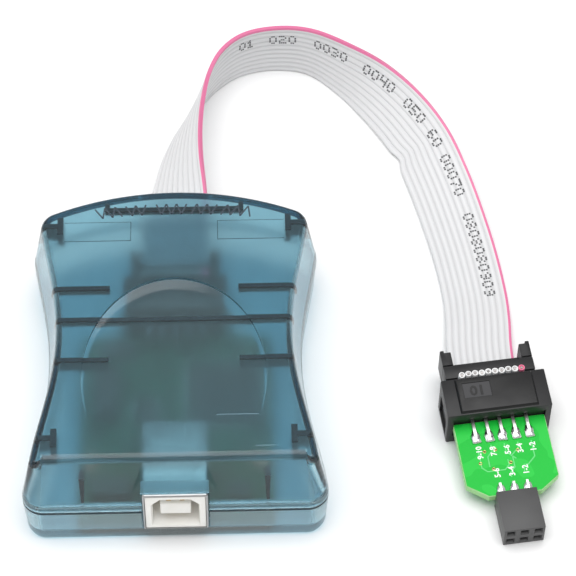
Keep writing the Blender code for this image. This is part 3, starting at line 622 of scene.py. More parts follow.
def ribbon_jacket(settings):
    """Ribbon insulation, with painted shade in the grooves and inside the case; U runs across the
    wires from the marked edge, V along them.
    """
    mat, tree, shader = new_material("ribbon_jacket", Base_Color=rgba(settings.jacket),
                                     Roughness=0.42, Subsurface_Weight=0.12,
                                     Subsurface_Scale=0.6 * MM)
    shader.inputs["Subsurface Radius"].default_value = (1.0, 0.9, 0.9)
    across = tree.nodes.new("ShaderNodeUVMap")
    across.uv_map = "ribbon_uv"
    split = tree.nodes.new("ShaderNodeSeparateXYZ")
    tree.links.new(across.outputs["UV"], split.inputs["Vector"])
    marked = maths(tree, "LESS_THAN", split.outputs["X"], 0.45 / WIRES)
    ridge = maths(tree, "PINGPONG", maths(tree, "MULTIPLY", split.outputs["X"], float(WIRES)),
                  0.5)
    # painted shade: the jacket and the marked edge are darkened towards the grooves between the wires
    painted_groove_shade = maths(tree, "MULTIPLY", ridge, 2.0)
    cloud = noise(tree, 420.0, 3.0)
    jacket = mix_colour(tree, painted_groove_shade, shade(settings.jacket, 0.84), settings.jacket)
    edge = mix_colour(tree, painted_groove_shade, shade(settings.marked_edge, 0.9), settings.marked_edge)
    # painted shade: inside the case the jacket is painted a dark grey-blue, for the shade it lies in
    # under the lid
    painted_shade_in_case = maths(tree, "LESS_THAN", split.outputs["Y"], PAINTED_SHADE_END)
    outside = mix_colour(tree, marked, jacket, edge)
    mix_colour(tree, painted_shade_in_case, outside, (0.2, 0.24, 0.27), shader.inputs["Base Color"])
    vary(tree, cloud.outputs["Fac"], shader.inputs["Roughness"], 0.36, 0.5)
    add_bump(tree, shader, cloud.outputs["Fac"], 0.08, 0.05 * MM)
    return mat


def printed_ink(name, colour, roughness=0.5):
    """Thin ink whose cover is slightly uneven."""
    mat, tree, shader = new_material(name, Base_Color=rgba(colour), Roughness=roughness)
    wear = noise(tree, 3800.0, 2.0)
    lift = tuple(min(1.0, c + 0.06) for c in colour)
    mix_colour(tree, wear.outputs["Fac"], colour, lift, shader.inputs["Base Color"])
    vary(tree, wear.outputs["Fac"], shader.inputs["Roughness"], roughness - 0.08,
         roughness + 0.1)
    return mat


class Finishes:
    """All finishes, made once and shared by the operators."""
    ready = {}

    @classmethod
    def get(cls, name):
        if not cls.ready:
            cls.make(bpy.context.scene)
        return cls.ready[name]

    @classmethod
    def make(cls, scene):
        case, cable, boards = scene.prog_case, scene.prog_cable, scene.prog_boards
        black = tuple(boards.plastic)
        cls.ready = {
            "lid": clear_plastic("smoky_blue_lid", case, case.density, 0.985),
            "base": clear_plastic("smoky_blue_base", case, case.density * 0.32, 0.86),
            "black": moulded_plastic("connector_plastic", black, 0.4),
            "plate": moulded_plastic("header_plate_plastic", shade(black, 0.45), 0.36),
            "window": moulded_plastic("header_window_plastic", shade(black, 3.2), 0.6),
            "target": moulded_plastic("target_socket_plastic", (0.075, 0.075, 0.076), 0.45),
            "cream": moulded_plastic("usb_block_plastic", (0.93, 0.91, 0.85), 0.38,
                                     0.01 * MM),
            "nickel": plated_metal("nickel_plate", (0.45, 0.45, 0.45), 0.34),
            "dull_tin": plated_metal("dull_tin", (0.16, 0.16, 0.17), 0.5),
            "tin": plated_metal("tin_plate", (0.8, 0.79, 0.77), 0.3),
            "gold": plated_metal("gold_flash", (0.83, 0.6, 0.25), 0.3),
            "solder": solder_metal("bright_solder"),
            "card": solder_mask("adapter_solder_mask", tuple(boards.adapter_green), 210.0),
            "card_trace": printed_ink("covered_copper", (0.09, 0.68, 0.16), 0.4),
            "fibre": glass_fibre("board_edge_resin"),
            "main_board": solder_mask("main_solder_mask", tuple(boards.main_green), 160.0),
            "chip": moulded_plastic("chip_epoxy", (0.035, 0.03, 0.028), 0.6),
            "tantalum": moulded_plastic("dark_resin", (0.02, 0.04, 0.035), 0.45),
            "lens": moulded_plastic("led_lens", (0.75, 0.3, 0.22), 0.25),
            "ribbon": ribbon_jacket(cable),
            "ribbon_marks": printed_ink("cable_ink", (0.06, 0.06, 0.065)),
            "white_ink": printed_ink("board_legend_ink", (0.88, 0.9, 0.86)),
            "dark_ink": printed_ink("case_mark_ink", (0.01, 0.03, 0.05)),
            # painted shade: opaque near-black blue for the ribs, whose translucent plastic looks dark
            # on edge, and for the shadow in the parting gap
            "rib": moulded_plastic("painted_shade_case_plastic", (0.006, 0.02, 0.03), 0.4),
            "pale_line": printed_ink("fine_pale_lines", (0.16, 0.3, 0.38)),
            # painted shade: the cut wire ends inside the case are painted dark grey in place of the
            # pale jacket colour
            "cut_painted_shade": moulded_plastic("painted_shade_wire_plastic", (0.2, 0.2, 0.2), 0.5),
            "core": plated_metal("stranded_core", (0.35, 0.33, 0.32), 0.4),
            "cut_plastic": moulded_plastic("cut_wire_plastic", (0.86, 0.86, 0.86), 0.5),
            "cut_marked": moulded_plastic("cut_marked_plastic", (0.85, 0.2, 0.34), 0.5),
        }


# ---------------------------------------------------------------- the hourglass case
def half_width(y):
    """Half width of the hourglass at the parting line."""
    flare, length = FRONT_FLARE if y < WAIST_Y else REAR_FLARE
    return WAIST_HALF + flare * (1 - math.cos(math.pi * abs(y - WAIST_Y) / length)) / 2


def side_normal(y):
    """Outward normal of the hourglass side at y."""
    step = 0.01 * MM
    slope = (half_width(y + step) - half_width(y - step)) / (2 * step)
    return Vector((1.0, -slope)).normalized()


def corner_centre(y, radius):
    """Centre of a corner arc that leaves the side at y without a kink."""
    return Vector((half_width(y), y)) - side_normal(y) * radius


def bisect(test, low, high):
    """The place between low, where the test holds, and high, where it does not."""
    for _ in range(40):
        middle = (low + high) / 2
        low, high = (middle, high) if test(middle) else (low, middle)
    return low


def arc_points(centre, radius, start, end, steps):
    """Points and outward normals along an arc."""
    made = []
    for i in range(steps + 1):
        angle = start + (end - start) * i / steps
        normal = Vector((math.cos(angle), math.sin(angle)))
        made.append((centre + normal * radius, normal))
    return made


def case_outline(side_steps):
    """Right half of the outline, front to rear, as points and outward normals."""
    front_y = -bisect(lambda y: corner_centre(-y, FRONT_CORNER).y > CASE_FRONT + FRONT_CORNER,
                      20 * MM, -CASE_FRONT)
    arc_centre = Vector((0.0, CASE_REAR - REAR_ARC))
    rear_y = bisect(lambda y: (corner_centre(y, REAR_CORNER) - arc_centre).length
                    < REAR_ARC - REAR_CORNER, 15 * MM, CASE_REAR)
    front_c, rear_c = corner_centre(front_y, FRONT_CORNER), corner_centre(rear_y, REAR_CORNER)
    bearing = lambda v: math.atan2(v.y, v.x)
    points = [(Vector((front_c.x * i / 8, CASE_FRONT)), Vector((0, -1))) for i in range(8)]
    points += arc_points(front_c, FRONT_CORNER, -math.pi / 2, bearing(side_normal(front_y)), 12)
    for i in range(1, side_steps):
        y = front_y + (rear_y - front_y) * i / side_steps
        points.append((Vector((half_width(y), y)), side_normal(y)))
    turn = bearing(rear_c - arc_centre)
    points += arc_points(rear_c, REAR_CORNER, bearing(side_normal(rear_y)), turn, 12)
    points += arc_points(arc_centre, REAR_ARC, turn, math.pi / 2, 16)[1:]
    return points


def case_ring(outline, z, side, front, rear):
    """The whole outline at height z, moved in by the given insets."""
    half = []
    for point, normal in outline:
        inset = side * normal.x ** 2 + (front if normal.y < 0 else rear) * normal.y ** 2
        moved = point - normal * inset
        half.append(Vector((moved.x, moved.y, z)))
    return half + [Vector((-p.x, p.y, p.z)) for p in reversed(half[1:-1])]


def profile_rings(outline, profile):
    """Rings of the outline up a profile of heights and insets in millimetres."""
    return [case_ring(outline, z * MM, side * MM, front * MM, rear * MM)
            for z, side, front, rear in profile]


def lid_inset(z):
    """Insets of the lid's outer wall at height z, on its straight sloping stretch."""
    low, high = LID_PROFILE[3], LID_PROFILE[4]
    share = (z / MM - low[0]) / (high[0] - low[0])
    return [(a + (b - a) * share) * MM for a, b in zip(low[1:], high[1:])]


def wall_x(y, z):
    """The middle of the lid's side wall."""
    return half_width(y) - lid_inset(z)[0] - WALL / 2


def even_ring(outline, z, inset):
    """The outline moved in by the same inset all round; both in millimetres."""
    return case_ring(outline, z * MM, inset * MM, inset * MM, inset * MM)


def cut_openings(obj, port_levels, cable_levels):
    """Cut the openings for the USB port and for the cable between the given levels."""
    width = USB_HALF + PORT_GAP
    cut(obj, add_cube("port_gate", (-width, USB_FRONT - 3 * MM, port_levels[0]),
                      (width, CASE_FRONT + 5 * MM, port_levels[1])))
    cut(obj, add_cube("cable_gate", (-CABLE_GATE_HALF, CASE_REAR - 5 * MM, cable_levels[0]),
                      (CABLE_GATE_HALF, CASE_REAR + 3 * MM, cable_levels[1])))


def make_lid_shell(settings, outline):
    """The lid as an open shell: outer skin, rebate for the base's lip, inner skin."""
    rings = list(reversed(profile_rings(outline, LID_PROFILE)))
    rings += [even_ring(outline, *row) for row in ((8.5, 0.8), (9.7, 0.8), (9.7, 1.35))]
    for z, extra in ((17.5, 1.3), (17.9, 1.42), (18.0, 1.7)):
        side, front, rear = lid_inset(z * MM)
        rings.append(case_ring(outline, z * MM, side + extra * MM, front + extra * MM,
                               rear + extra * MM))
    lid = bridged("lid_shell", rings)
    combine(lid, port_hood(), "UNION")
    cut_openings(lid, (7 * MM, USB_Z[1] + PORT_GAP), (7 * MM, 9.9 * MM))
    cut(lid, dish_tool(settings.dish_depth))
    smooth(lid, 32)
    return mark_frosted(weighted_normals(lid), -1)


def plan_prism(name, levels, plan_at):
    """A closed upright solid whose plan at each level comes from a function of height."""
    return bridged(name, [[Vector((x, y, z)) for x, y in plan_at(z)] for z in levels])


def lid_posts():
    """The four T-shaped posts in the corners."""
    return [plan_prism("post", (14.5 * MM, RIB_ROOT), partial(post_plan, side, y))
            for side in (-1, 1) for y in (25.2 * MM, -24.8 * MM)]


def port_hood():
    """A low hood that carries the lid's front slope down to the edge of the port."""
    section = ((-34.25, 14.17), (-34.25, 14.5), (-31.2, 17.0), (-31.2, 14.17))
    return bridged("port_hood", [[Vector((x, y * MM, z * MM)) for y, z in section]
                                 for x in (-USB_HALF - 0.2 * MM, USB_HALF + 0.2 * MM)])


def make_lid_ribs():
    """Posts, ribs and the frame above the cable; their dark finish is painted shade for how thick
    plastic looks on edge.
    """
    made = lid_posts()
    for side in (-1, 1):
        for y, depth in ((9.7 * MM, 1.3 * MM), (-7.2 * MM, 2.6 * MM)):
            made.append(plan_prism("side_rib", (CEILING - depth, RIB_ROOT),
                                   partial(rib_plan, side * 12.1 * MM, side, y)))
        made.append(plan_prism("front_rib", (10.2 * MM, 15.0 * MM), partial(front_rib_plan, side)))
    made.append(plan_prism("cross_rib", (CEILING - 1.3 * MM, RIB_ROOT),
                           lambda z: rib_plan(-wall_x(2.2 * MM, z), 1, 2.2 * MM, z)))
    made.append(plan_prism("cable_frame", (CEILING - 0.9 * MM, RIB_ROOT), cable_frame_plan))
    return join(made, "lid_ribs")


def make_mould_lines():
    """Thin outlines of two mould inserts on the lid's ceiling."""
    lines = []
    low, high = CEILING - 0.01 * MM, CEILING + 0.05 * MM
    for side in (-1, 1):
        for y0, y1 in ((21.3 * MM, 21.42 * MM), (25.95 * MM, 26.03 * MM)):
            lines.append(side_box("line", side, 8.3 * MM, 21.0 * MM, (y0, low), (y1, high)))
        lines.append(side_box("line", side, 8.25 * MM, 8.35 * MM, (21.3 * MM, low),
                              (26.0 * MM, high)))
    return join(lines, "lid_mould_lines")


def make_pale_lines():
    """Fine pale lines on the lid's top."""
    marks = [add_cube("pale_line", (x0 * MM, (y - 0.05) * MM, CASE_TOP - 0.02 * MM),
                      (x1 * MM, (y + 0.05) * MM, CASE_TOP + 0.01 * MM))
             for x0, x1, y in PALE_LINES]
    return join(marks, "lid_pale_lines")


def post_plan(side, y, z):
    """A T in plan: a stem from the side wall and a cap along the case."""
    cap, thick, half, stem = 21.8 * MM, 0.55 * MM, 1.95 * MM, 0.5 * MM
    outer = wall_x(y, z)
    plan = ((cap - thick, -half), (cap + thick, -half), (cap + thick, -stem), (outer, -stem),
            (outer, stem), (cap + thick, stem), (cap + thick, half), (cap - thick, half))
    return [(side * x, y + dy) for x, dy in plan]


def rib_plan(inner_x, side, y, z):
    """A rib across the case, from an inner end to the side wall."""
    half = 0.45 * MM
    outer = side * wall_x(y, z)
    return [(inner_x, y - half), (outer, y - half), (outer, y + half), (inner_x, y + half)]


def front_rib_plan(side, z):
    """An upright rib behind the front slope, wider and deeper towards its top."""
    share = (z - 10.2 * MM) / (4.8 * MM)
    x, half, deep = side * FRONT_RIB_X, (0.25 + 0.25 * share) * MM, (0.5 + 0.8 * share) * MM
    wall_y = CASE_FRONT + lid_inset(z)[1]
    near, far = wall_y + WALL / 2, wall_y + WALL + deep
    return [(x - half, near), (x + half, near), (x + half, far), (x - half, far)]


def cable_frame_plan(z):
    """Three sides of a rectangle, open towards the rear wall."""
    half, thick, front_y = 13.3 * MM, 0.9 * MM, 28.5 * MM
    bow = REAR_ARC - math.sqrt(REAR_ARC ** 2 - half ** 2)
    wall_y = CASE_REAR - bow - lid_inset(z)[2] - WALL / 2
    return [(-half, wall_y), (-half, front_y), (half, front_y), (half, wall_y),
            (half - thick, wall_y), (half - thick, front_y + thick),
            (-half + thick, front_y + thick), (-half + thick, wall_y)]


def dish_tool(depth):
    """The oval cutter: a short upright wall, a cove behind it and a floor that rises."""
    slope = depth / (DISH_Y + DISH_HALF_Y - DISH_FADE_Y)

    def oval(shrink_x, shrink_y, shift, height):
        points = []
        for i in range(96):
            angle = 2 * math.pi * i / 96
            x = (DISH_HALF_X - shrink_x) * math.cos(angle)
            y = DISH_Y + shift + (DISH_HALF_Y - shrink_y) * math.sin(angle)
            points.append(Vector((x, y, height(y))))
        return points

    floor = lambda y: CASE_TOP - (y - DISH_FADE_Y) * slope
    ledge = lambda y: CASE_TOP - (y - DISH_FADE_Y) * slope * 0.4
    rings = [oval(-0.12 * MM, -0.12 * MM, 0.0, lambda y: CASE_TOP + 3 * MM),
             oval(-0.12 * MM, -0.12 * MM, 0.0, lambda y: CASE_TOP + 0.08 * MM),
             oval(0.0, 0.0, 0.0, ledge),
             oval(0.25 * MM, 1.0 * MM, -0.9 * MM, lambda y: floor(y) * 0.55 + ledge(y) * 0.45),
             oval(0.5 * MM, 1.75 * MM, -1.7 * MM, floor)]
    return bridged("dish_tool", rings)


def make_base_shell(outline):
    """The base as an open tub: outer skin, lip, inner skin, board pads and two ribs."""
    rings = profile_rings(outline, BASE_PROFILE)
    rings += [even_ring(outline, *row) for row in (
        (8.3, 1.1), (9.4, 1.1), (9.4, 2.0), (2.1, 2.3), (1.6, 2.6), (1.5, 3.0))]
    base = bridged("base_shell", rings)
    for x in (-14 * MM, 14 * MM):
        for y in (-26 * MM, 5 * MM):
            combine(base, add_cylinder("pad", 2 * MM, 1.0 * MM, (x, y, 1.24 * MM)), "UNION")
    front = CASE_FRONT + WALL
    for x in (-FRONT_RIB_X, FRONT_RIB_X):
        combine(base, add_cube("rib", (x - 0.4 * MM, front - 0.8 * MM, 0.8 * MM),
                               (x + 0.4 * MM, front + 0.55 * MM, 7.8 * MM)), "UNION")
    cut_openings(base, (USB_Z[0] - PORT_GAP, 12 * MM), (7.8 * MM, 12 * MM))
    smooth(base, 32)
    return mark_frosted(weighted_normals(base), 1)


def make_parting_shadow(outline):
    """A dark ring of painted shadow for the gap between lid and base, broken at the socket and at the
    cable.
    """
    line = bridged("parting_shadow", [even_ring(outline, z, 0.01) for z in (8.22, 8.5)])
    cut(line, bridged("hollow", [even_ring(outline, z, 0.5) for z in (8.1, 8.6)]))
    cut_openings(line, (7 * MM, 10 * MM), (7 * MM, 10 * MM))
    return line


def make_rear_marks():
    """A bowed row of slanted strokes along the rear of the lid."""
    stroke = add_cube("stroke", (-0.15 * MM, -1.35 * MM, CASE_TOP - 0.03 * MM),
                      (0.15 * MM, 1.35 * MM, CASE_TOP + 0.02 * MM))
    places = []
    for i in REAR_STROKES:
        x, lean = i * STROKE_PITCH, math.radians(20 if i % 2 else -20)
        if i not in REAR_BLANKS:
            places.append(Matrix.Translation((x, 28.1 * MM - x * x / (4 * REAR_ARC), 0.0))
                          @ Matrix.Rotation(lean - x / REAR_ARC, 4, "Z"))
    return copies(stroke, "lid_marks", places)


# ---------------------------------------------------------------- inside the case
def make_usb_sleeve():
    """Thin metal sleeve with rounded edges and two pairs of slots beside its springs."""
    plate, top = 0.4 * MM, USB_Z[1]
    sleeve = add_cube("usb_sleeve", (-USB_HALF, USB_FRONT, USB_Z[0]), (USB_HALF, USB_BACK, top))
    bevel(sleeve, 0.45 * MM, 3, 60)
    hollow = add_cube("hollow", (-USB_HALF + plate, USB_FRONT - MM, USB_Z[0] + plate),
                      (USB_HALF - plate, USB_BACK - plate, top - plate))
    cut(sleeve, bevel(hollow, 0.2 * MM, 2, 60))
    for x in (-3.5 * MM, -2.0 * MM, 1.7 * MM, 3.2 * MM):
        cut(sleeve, add_cube("spring_slot", (x, USB_FRONT + 4 * MM, top - 0.3 * MM),
                             (x + 0.3 * MM, USB_FRONT + 10 * MM, top + MM)))
    return smooth(sleeve)


def make_usb_block():
    """The moulded block: square port with two cut corners around a centre tongue."""
    middle, gap = sum(USB_Z) / 2, 0.48 * MM
    block = add_cube("usb_block", (-USB_HALF + gap, USB_FRONT + 0.1 * MM, USB_Z[0] + gap),
                     (USB_HALF - gap, USB_BACK - gap, USB_Z[1] - gap))
    bevel(block, 0.18 * MM, 2, 60)
    half, high, corner = 4.23 * MM, 3.89 * MM, 1.6 * MM
    plan = ((-half, -high), (half, -high), (half, high - corner), (half - corner, high),
            (-half + corner, high), (-half, high - corner))
    rings = [[Vector((x * flare, y, middle + z * flare)) for x, z in plan]
             for y, flare in ((USB_FRONT - MM, 1.06), (USB_FRONT + 0.1 * MM, 1.045),
                              (USB_FRONT + 0.45 * MM, 1.0), (USB_FRONT + 9 * MM, 1.0))]
    cut(block, bridged("port", rings))
    tongue = add_cube("tongue", (-2.8 * MM, USB_FRONT + 0.9 * MM, middle - 1.6 * MM),
                      (2.8 * MM, USB_FRONT + 10 * MM, middle + 1.6 * MM))
    combine(block, bevel(tongue, 0.3 * MM, 3, 60), "UNION")
    return smooth(block)


def make_chip_leads(name, centre, half_x, half_y, pitch, rows_x, rows_y):
    """Gull-wing leads around a chip, bent from one strip and copied."""
    lead = add_cube("lead", (0, -0.15 * MM, 0.5 * MM), (0.45 * MM, 0.15 * MM, 0.65 * MM))
    extrude_faces(lead, lambda c, n: n.x > 0.9, (0.25 * MM, 0, -0.5 * MM))
    extrude_faces(lead, lambda c, n: n.x > 0.6 and c.x > 0.5 * MM, (0.5 * MM, 0, 0))
    places = []
    for side, count, half in ((0, rows_x, half_x), (180, rows_x, half_x),
                              (90, rows_y, half_y), (270, rows_y, half_y)):
        turn = Matrix.Translation(centre) @ Matrix.Rotation(math.radians(side), 4, "Z")
        places += [turn @ Matrix.Translation((half - 0.1 * MM, (i - (count - 1) / 2) * pitch, 0))
                   for i in range(count)]
    return copies(lead, name, places)


def make_small_parts():
    """Chip resistors and capacitors: small rounded blocks in rows by the chips."""
    block = add_cube("small", (-0.9 * MM, -0.6 * MM, 0), (0.9 * MM, 0.6 * MM, 0.6 * MM))
    bevel(block, 0.12 * MM, 2, 60)
    return copies(block, "small_parts", [
        Matrix.Translation((x * MM, y * MM, BOARD_TOP + 0.06 * MM))
        @ Matrix.Rotation(math.radians(turn), 4, "Z") for x, y, turn in SMALL_PARTS])


# ---------------------------------------------------------------- the ribbon cable
def lying_height(roll):
    """Height of the ribbon's centre where its lower edge or face rests on the surface."""
    edge = RIBBON_WIDTH / 2 * abs(math.sin(roll))
    return edge + RIBBON_THICK / 2 * abs(math.cos(roll)) + FLOOR_CLEARANCE


def smooth_route(steps):
    """A smooth curve through the route: position and roll in one four-part vector."""
    points = []
    for x, y, z, degrees in RIBBON_ROUTE:
        roll = math.radians(degrees)
        height = lying_height(roll) if z is None else z * MM
        points.append(Vector((x * MM, y * MM, height, roll)))
    padded = [2 * points[0] - points[1], *points, 2 * points[-1] - points[-2]]
    made = []
    for a, b, c, d in zip(padded, padded[1:], padded[2:], padded[3:]):
        for i in range(steps):
            t = i / steps
            made.append(0.5 * (2 * b + (c - a) * t + (2 * a - 5 * b + 4 * c - d) * t * t
                               + (3 * b - a - 3 * c + d) * t ** 3))
    made.append(points[-1])
    return made


def fold_stations(place, outgoing):
    """Stations of one end: cut above the crimp, down through it, folded under the cover."""
    centre_y, centre_z = CRIMP_Y + RIBBON_FOLD, RIBBON_FOLD_Z + RIBBON_FOLD
    path = [(CRIMP_Y, RIBBON_CUT_Z - 0.4 * MM, math.pi), (CRIMP_Y, centre_z + 0.5 * MM, math.pi)]
    for i in range(9):
        angle = math.pi + math.pi / 2 * i / 8
        path.append((centre_y + RIBBON_FOLD * math.cos(angle),
                     centre_z + RIBBON_FOLD * math.sin(angle), angle))
    turn = place.to_3x3()
    stations = []
    for y, z, angle in path:
        along = turn @ (Vector((0.0, -math.sin(angle), math.cos(angle))) * outgoing)
        stations.append((place @ Vector((0.0, y, z)), along, turn @ Vector((1.0, 0.0, 0.0))))
    return stations[::outgoing]


def ribbon_stations(steps):
    """Every station of the ribbon: its centre, its direction and the way to its marked edge."""
    samples = smooth_route(steps)
    middle = []
    for i, sample in enumerate(samples):
        before, after = samples[max(i - 1, 0)], samples[min(i + 1, len(samples) - 1)]
        along = (after.xyz - before.xyz).normalized()
        right = Vector((along.y, -along.x, 0.0)).normalized()
        across = right * math.cos(sample.w) + right.cross(along) * math.sin(sample.w)
        middle.append((sample.xyz, along, across))
    return fold_stations(CASE_PLUG, 1) + middle + fold_stations(ADAPTER, -1)


def ribbon_profile(ridge):
    """The section across the wires: U from the marked edge, and half the thickness there."""
    per_wire, profile = 8, []
    for wire in range(WIRES):
        for i in range(per_wire):
            u = (i + (0.5 if wire == 0 and i == 0 else 0)) / per_wire
            lobe = math.sqrt(max(0.0, 1 - (2 * u - 1) ** 2))
            profile.append(((wire + u) / WIRES, RIBBON_THICK / 2 - ridge * (1 - lobe)))
    return profile + [(1.0 - 0.04 / WIRES, RIBBON_THICK / 2 - ridge * 0.75)]


def ribbon_crease(distance):
    """Sideways shift of the inner edge where the ribbon was once pinched, in metres."""
    return CREASE_SHIFT * math.exp(-((distance - CREASE_AT) / CREASE_SPREAD) ** 2)


def make_ribbon(settings):
    """The ribbon as one mesh with rounded wires and its own UV map."""
    stations = ribbon_stations(settings.steps)
    profile = ribbon_profile(settings.ridge)
    mesh = bmesh.new()
    uv_layer = mesh.loops.layers.uv.new("ribbon_uv")
    rings, distance, last = [], 0.0, None
    for centre, along, across in stations:
        distance += (centre - last).length if last else 0.0
        last = centre
        face = along.cross(across).normalized()
        ring = []
        for side in (1, -1):
            for u, half in (profile if side == 1 else reversed(profile)):
                crease = ribbon_crease(distance) * max(0.0, u - 0.25)
                point = (centre + across * ((0.5 - u) * RIBBON_WIDTH + crease)
                         + face * (side * half - 0.6 * crease))
                ring.append((mesh.verts.new(point), u))
        rings.append((ring, distance))
    for (near, v0), (far, v1) in zip(rings, rings[1:]):
        for i in range(len(near)):
            j = (i + 1) % len(near)
            corners = ((near[i], v0), (near[j], v0), (far[j], v1), (far[i], v1))
            quad = mesh.faces.new([vert for (vert, u), v in corners])
            for loop, ((vert, u), v) in zip(quad.loops, corners):
                loop[uv_layer].uv = (u, v * 10)
    mesh.faces.new([vert for vert, u in rings[0][0]])
    mesh.faces.new([vert for vert, u in rings[-1][0]])
    return smooth(mesh_object("ribbon_strip", mesh), 55), stations


def make_ribbon_marks(stations, ridge):
    """Dotted numbers printed on the upper face, near the marked edge."""
    lengths = [0.0]
    for (a, _, _), (b, _, _) in zip(stations, stations[1:]):
        lengths.append(lengths[-1] + (b - a).length)
    mesh = bmesh.new()
    for word, middle in PRINTED_GROUPS:
        for place, digit in enumerate(word):
            start = middle * MM + (place - len(word) / 2) * LETTER_PITCH
            for row, cells in enumerate(DOT_DIGITS[digit]):
                for column, cell in enumerate(cells):
                    if cell == "x":
                        add_dot(mesh, stations, lengths, start + column * DOT_COLUMN,
                                TOP_ROW - row * DOT_ROW, ridge)
    return mesh_object("ribbon_marks", mesh)


def station_at(stations, lengths, along):
    """The ribbon's centre, direction and side way at a length from its cut end."""
    for i in range(1, len(stations)):
        if lengths[i] >= along:
            share = (along - lengths[i - 1]) / (lengths[i] - lengths[i - 1])
            return [a.lerp(b, share) for a, b in zip(stations[i - 1], stations[i])]
    return stations[-1]


def surface_half(offset, ridge):
    """Half the ribbon's thickness at an offset from its middle."""
    u = ((0.5 - offset / RIBBON_WIDTH) * WIRES) % 1.0
    return RIBBON_THICK / 2 - ridge * (1 - math.sqrt(max(0.0, 1 - (2 * u - 1) ** 2)))


def add_dot(mesh, stations, lengths, along, offset, ridge):
    """One flat printed dot that follows the ribbon's upper face."""
    length, width, lift = 0.35 * MM, 0.36 * MM, 0.015 * MM
    corners = {}
    for end in (0, 1):
        centre, forward, across = station_at(stations, lengths, along + end * length)
        face = forward.cross(across).normalized()
        for edge in (0, 1):
            place = offset - edge * width
            base = centre + across * place
            for level in (0, 1):
                height = surface_half(place, ridge) + (lift if level else -lift)
                corners[end, edge, level] = mesh.verts.new(base + face * height)
    for keys in DOT_FACES:
        mesh.faces.new([corners[key] for key in keys])


def make_cut_ends(place, name):
    """The ten trimmed wire ends above the crimp: jackets with a bore, and copper within."""
    jacket = add_cylinder("cut_jacket", 0.61 * MM, 0.9 * MM, (0, 0, 0.45 * MM), 18)
    inset_faces(jacket, lambda c, n: n.z > 0.9, 0.2 * MM)
    inset_faces(jacket, lambda c, n: n.z > 0.9 and c.xy.length < 0.01 * MM, 0.02 * MM, -0.3 * MM)
    bevel(jacket, 0.05 * MM, 1, 40)
    core = add_cylinder("core", 0.24 * MM, 0.8 * MM, (0, 0, 0.38 * MM), 12)
    base = RIBBON_CUT_Z - 0.42 * MM
    wires, cores, marked = [], [], None
    for wire in range(WIRES):
        x = RIBBON_WIDTH / 2 - (wire + 0.5) * RIBBON_WIDTH / WIRES
        lean = Matrix.Rotation(math.radians(7 * math.sin(wire * 2.3)), 4, "X")
        turned = place @ Matrix.Translation((x, CRIMP_Y, base)) @ lean
        end = smooth(copy_at(jacket, f"{name}_{wire}", turned))
        cores.append(copy_at(core, f"{name}_core_{wire}", turned))
        if wire == 0:
            marked = named(end, name + "_marked")
        else:
            wires.append(end)
    discard(jacket, core)
    return join(wires, name), join(cores, name + "_cores"), marked


# ---------------------------------------------------------------- ten-way connectors
# Their frame: origin at the middle of the header's rear face, ribbon towards +Y, up +Z.
def pin_places(columns=5):
    """Places of two rows of pins across the connector and up it."""
    middle = (columns - 1) / 2
    return [((column - middle) * PITCH, row * PITCH / 2)
            for row in (-1, 1) for column in range(columns)]


def make_socket_parts():
    """The crimped socket's body, cover and strain-relief clip in the connector's frame."""
    body = add_cube("socket_body", (-SOCKET_HALF, 2.3 * MM, -SOCKET_HALF_HEIGHT),
                    (SOCKET_HALF, CRIMP_Y - 0.5 * MM, SOCKET_HALF_HEIGHT))
    bevel(body, 0.25 * MM, 2)
    for x, z in pin_places():
        cut(body, add_cube("hole", (x - 0.5 * MM, 0, z - 0.5 * MM),
                           (x + 0.5 * MM, CRIMP_Y - 1.6 * MM, z + 0.5 * MM)))
    return smooth(body), smooth(make_socket_cover()), smooth(make_clip())


def make_socket_cover():
    """A bar with latch shoulders, relieved below where the ribbon folds under it."""
    near, far = COVER_Y
    top, relief = SOCKET_HALF_HEIGHT, 0.5 * MM
    section = ((near, top), (far, top), (far, -top), (near + relief, -top), (near, relief - top))
    rings = [[Vector((x, y, z)) for y, z in section] for x in (-SOCKET_HALF, SOCKET_HALF)]
    cover = bridged("socket_cover", rings)
    bevel(cover, 0.16 * MM, 2, 40)
    for i in range(WIRES):
        x = RIBBON_WIDTH / 2 - (i + 0.5) * RIBBON_WIDTH / WIRES
        cut(cover, add_cylinder("flute", 0.5 * MM, 7 * MM, (x, near - 0.38 * MM, 0.6 * MM), 16))
    return cover


def make_clip():
    """Two ears beside the ribbon, each with a small hook, joined by a bar above it."""
    near, inner = COVER_Y[1] + 0.1 * MM, RIBBON_WIDTH / 2 + 0.2 * MM
    top = SOCKET_HALF_HEIGHT - 0.1 * MM
    ears = []
    for side in (-1, 1):
        ear = side_box("ear", side, inner, SOCKET_HALF, (near, -top), (CLIP_END_Y, top))
        bevel(ear, 0.18 * MM, 2)
        cut(ear, side_box("notch", side, inner - MM, inner + 1.3 * MM,
                          (CLIP_END_Y - 0.55 * MM, -top - MM), (CLIP_END_Y + MM, top + MM)))
        cut(ear, side_box("step", side, inner - MM, SOCKET_HALF + MM,
                          (near - MM, top - 0.35 * MM), (near + 0.35 * MM, top + MM)))
        ears.append(ear)
    clip = ears[0]
    bar = add_cube("bar", (-inner - 0.6 * MM, near + 0.1 * MM, -2.7 * MM),
                   (inner + 0.6 * MM, CLIP_END_Y - 0.8 * MM, -1.3 * MM))
    combine(clip, bevel(bar, 0.15 * MM, 2), "UNION")
    return combine(clip, ears[1], "UNION")


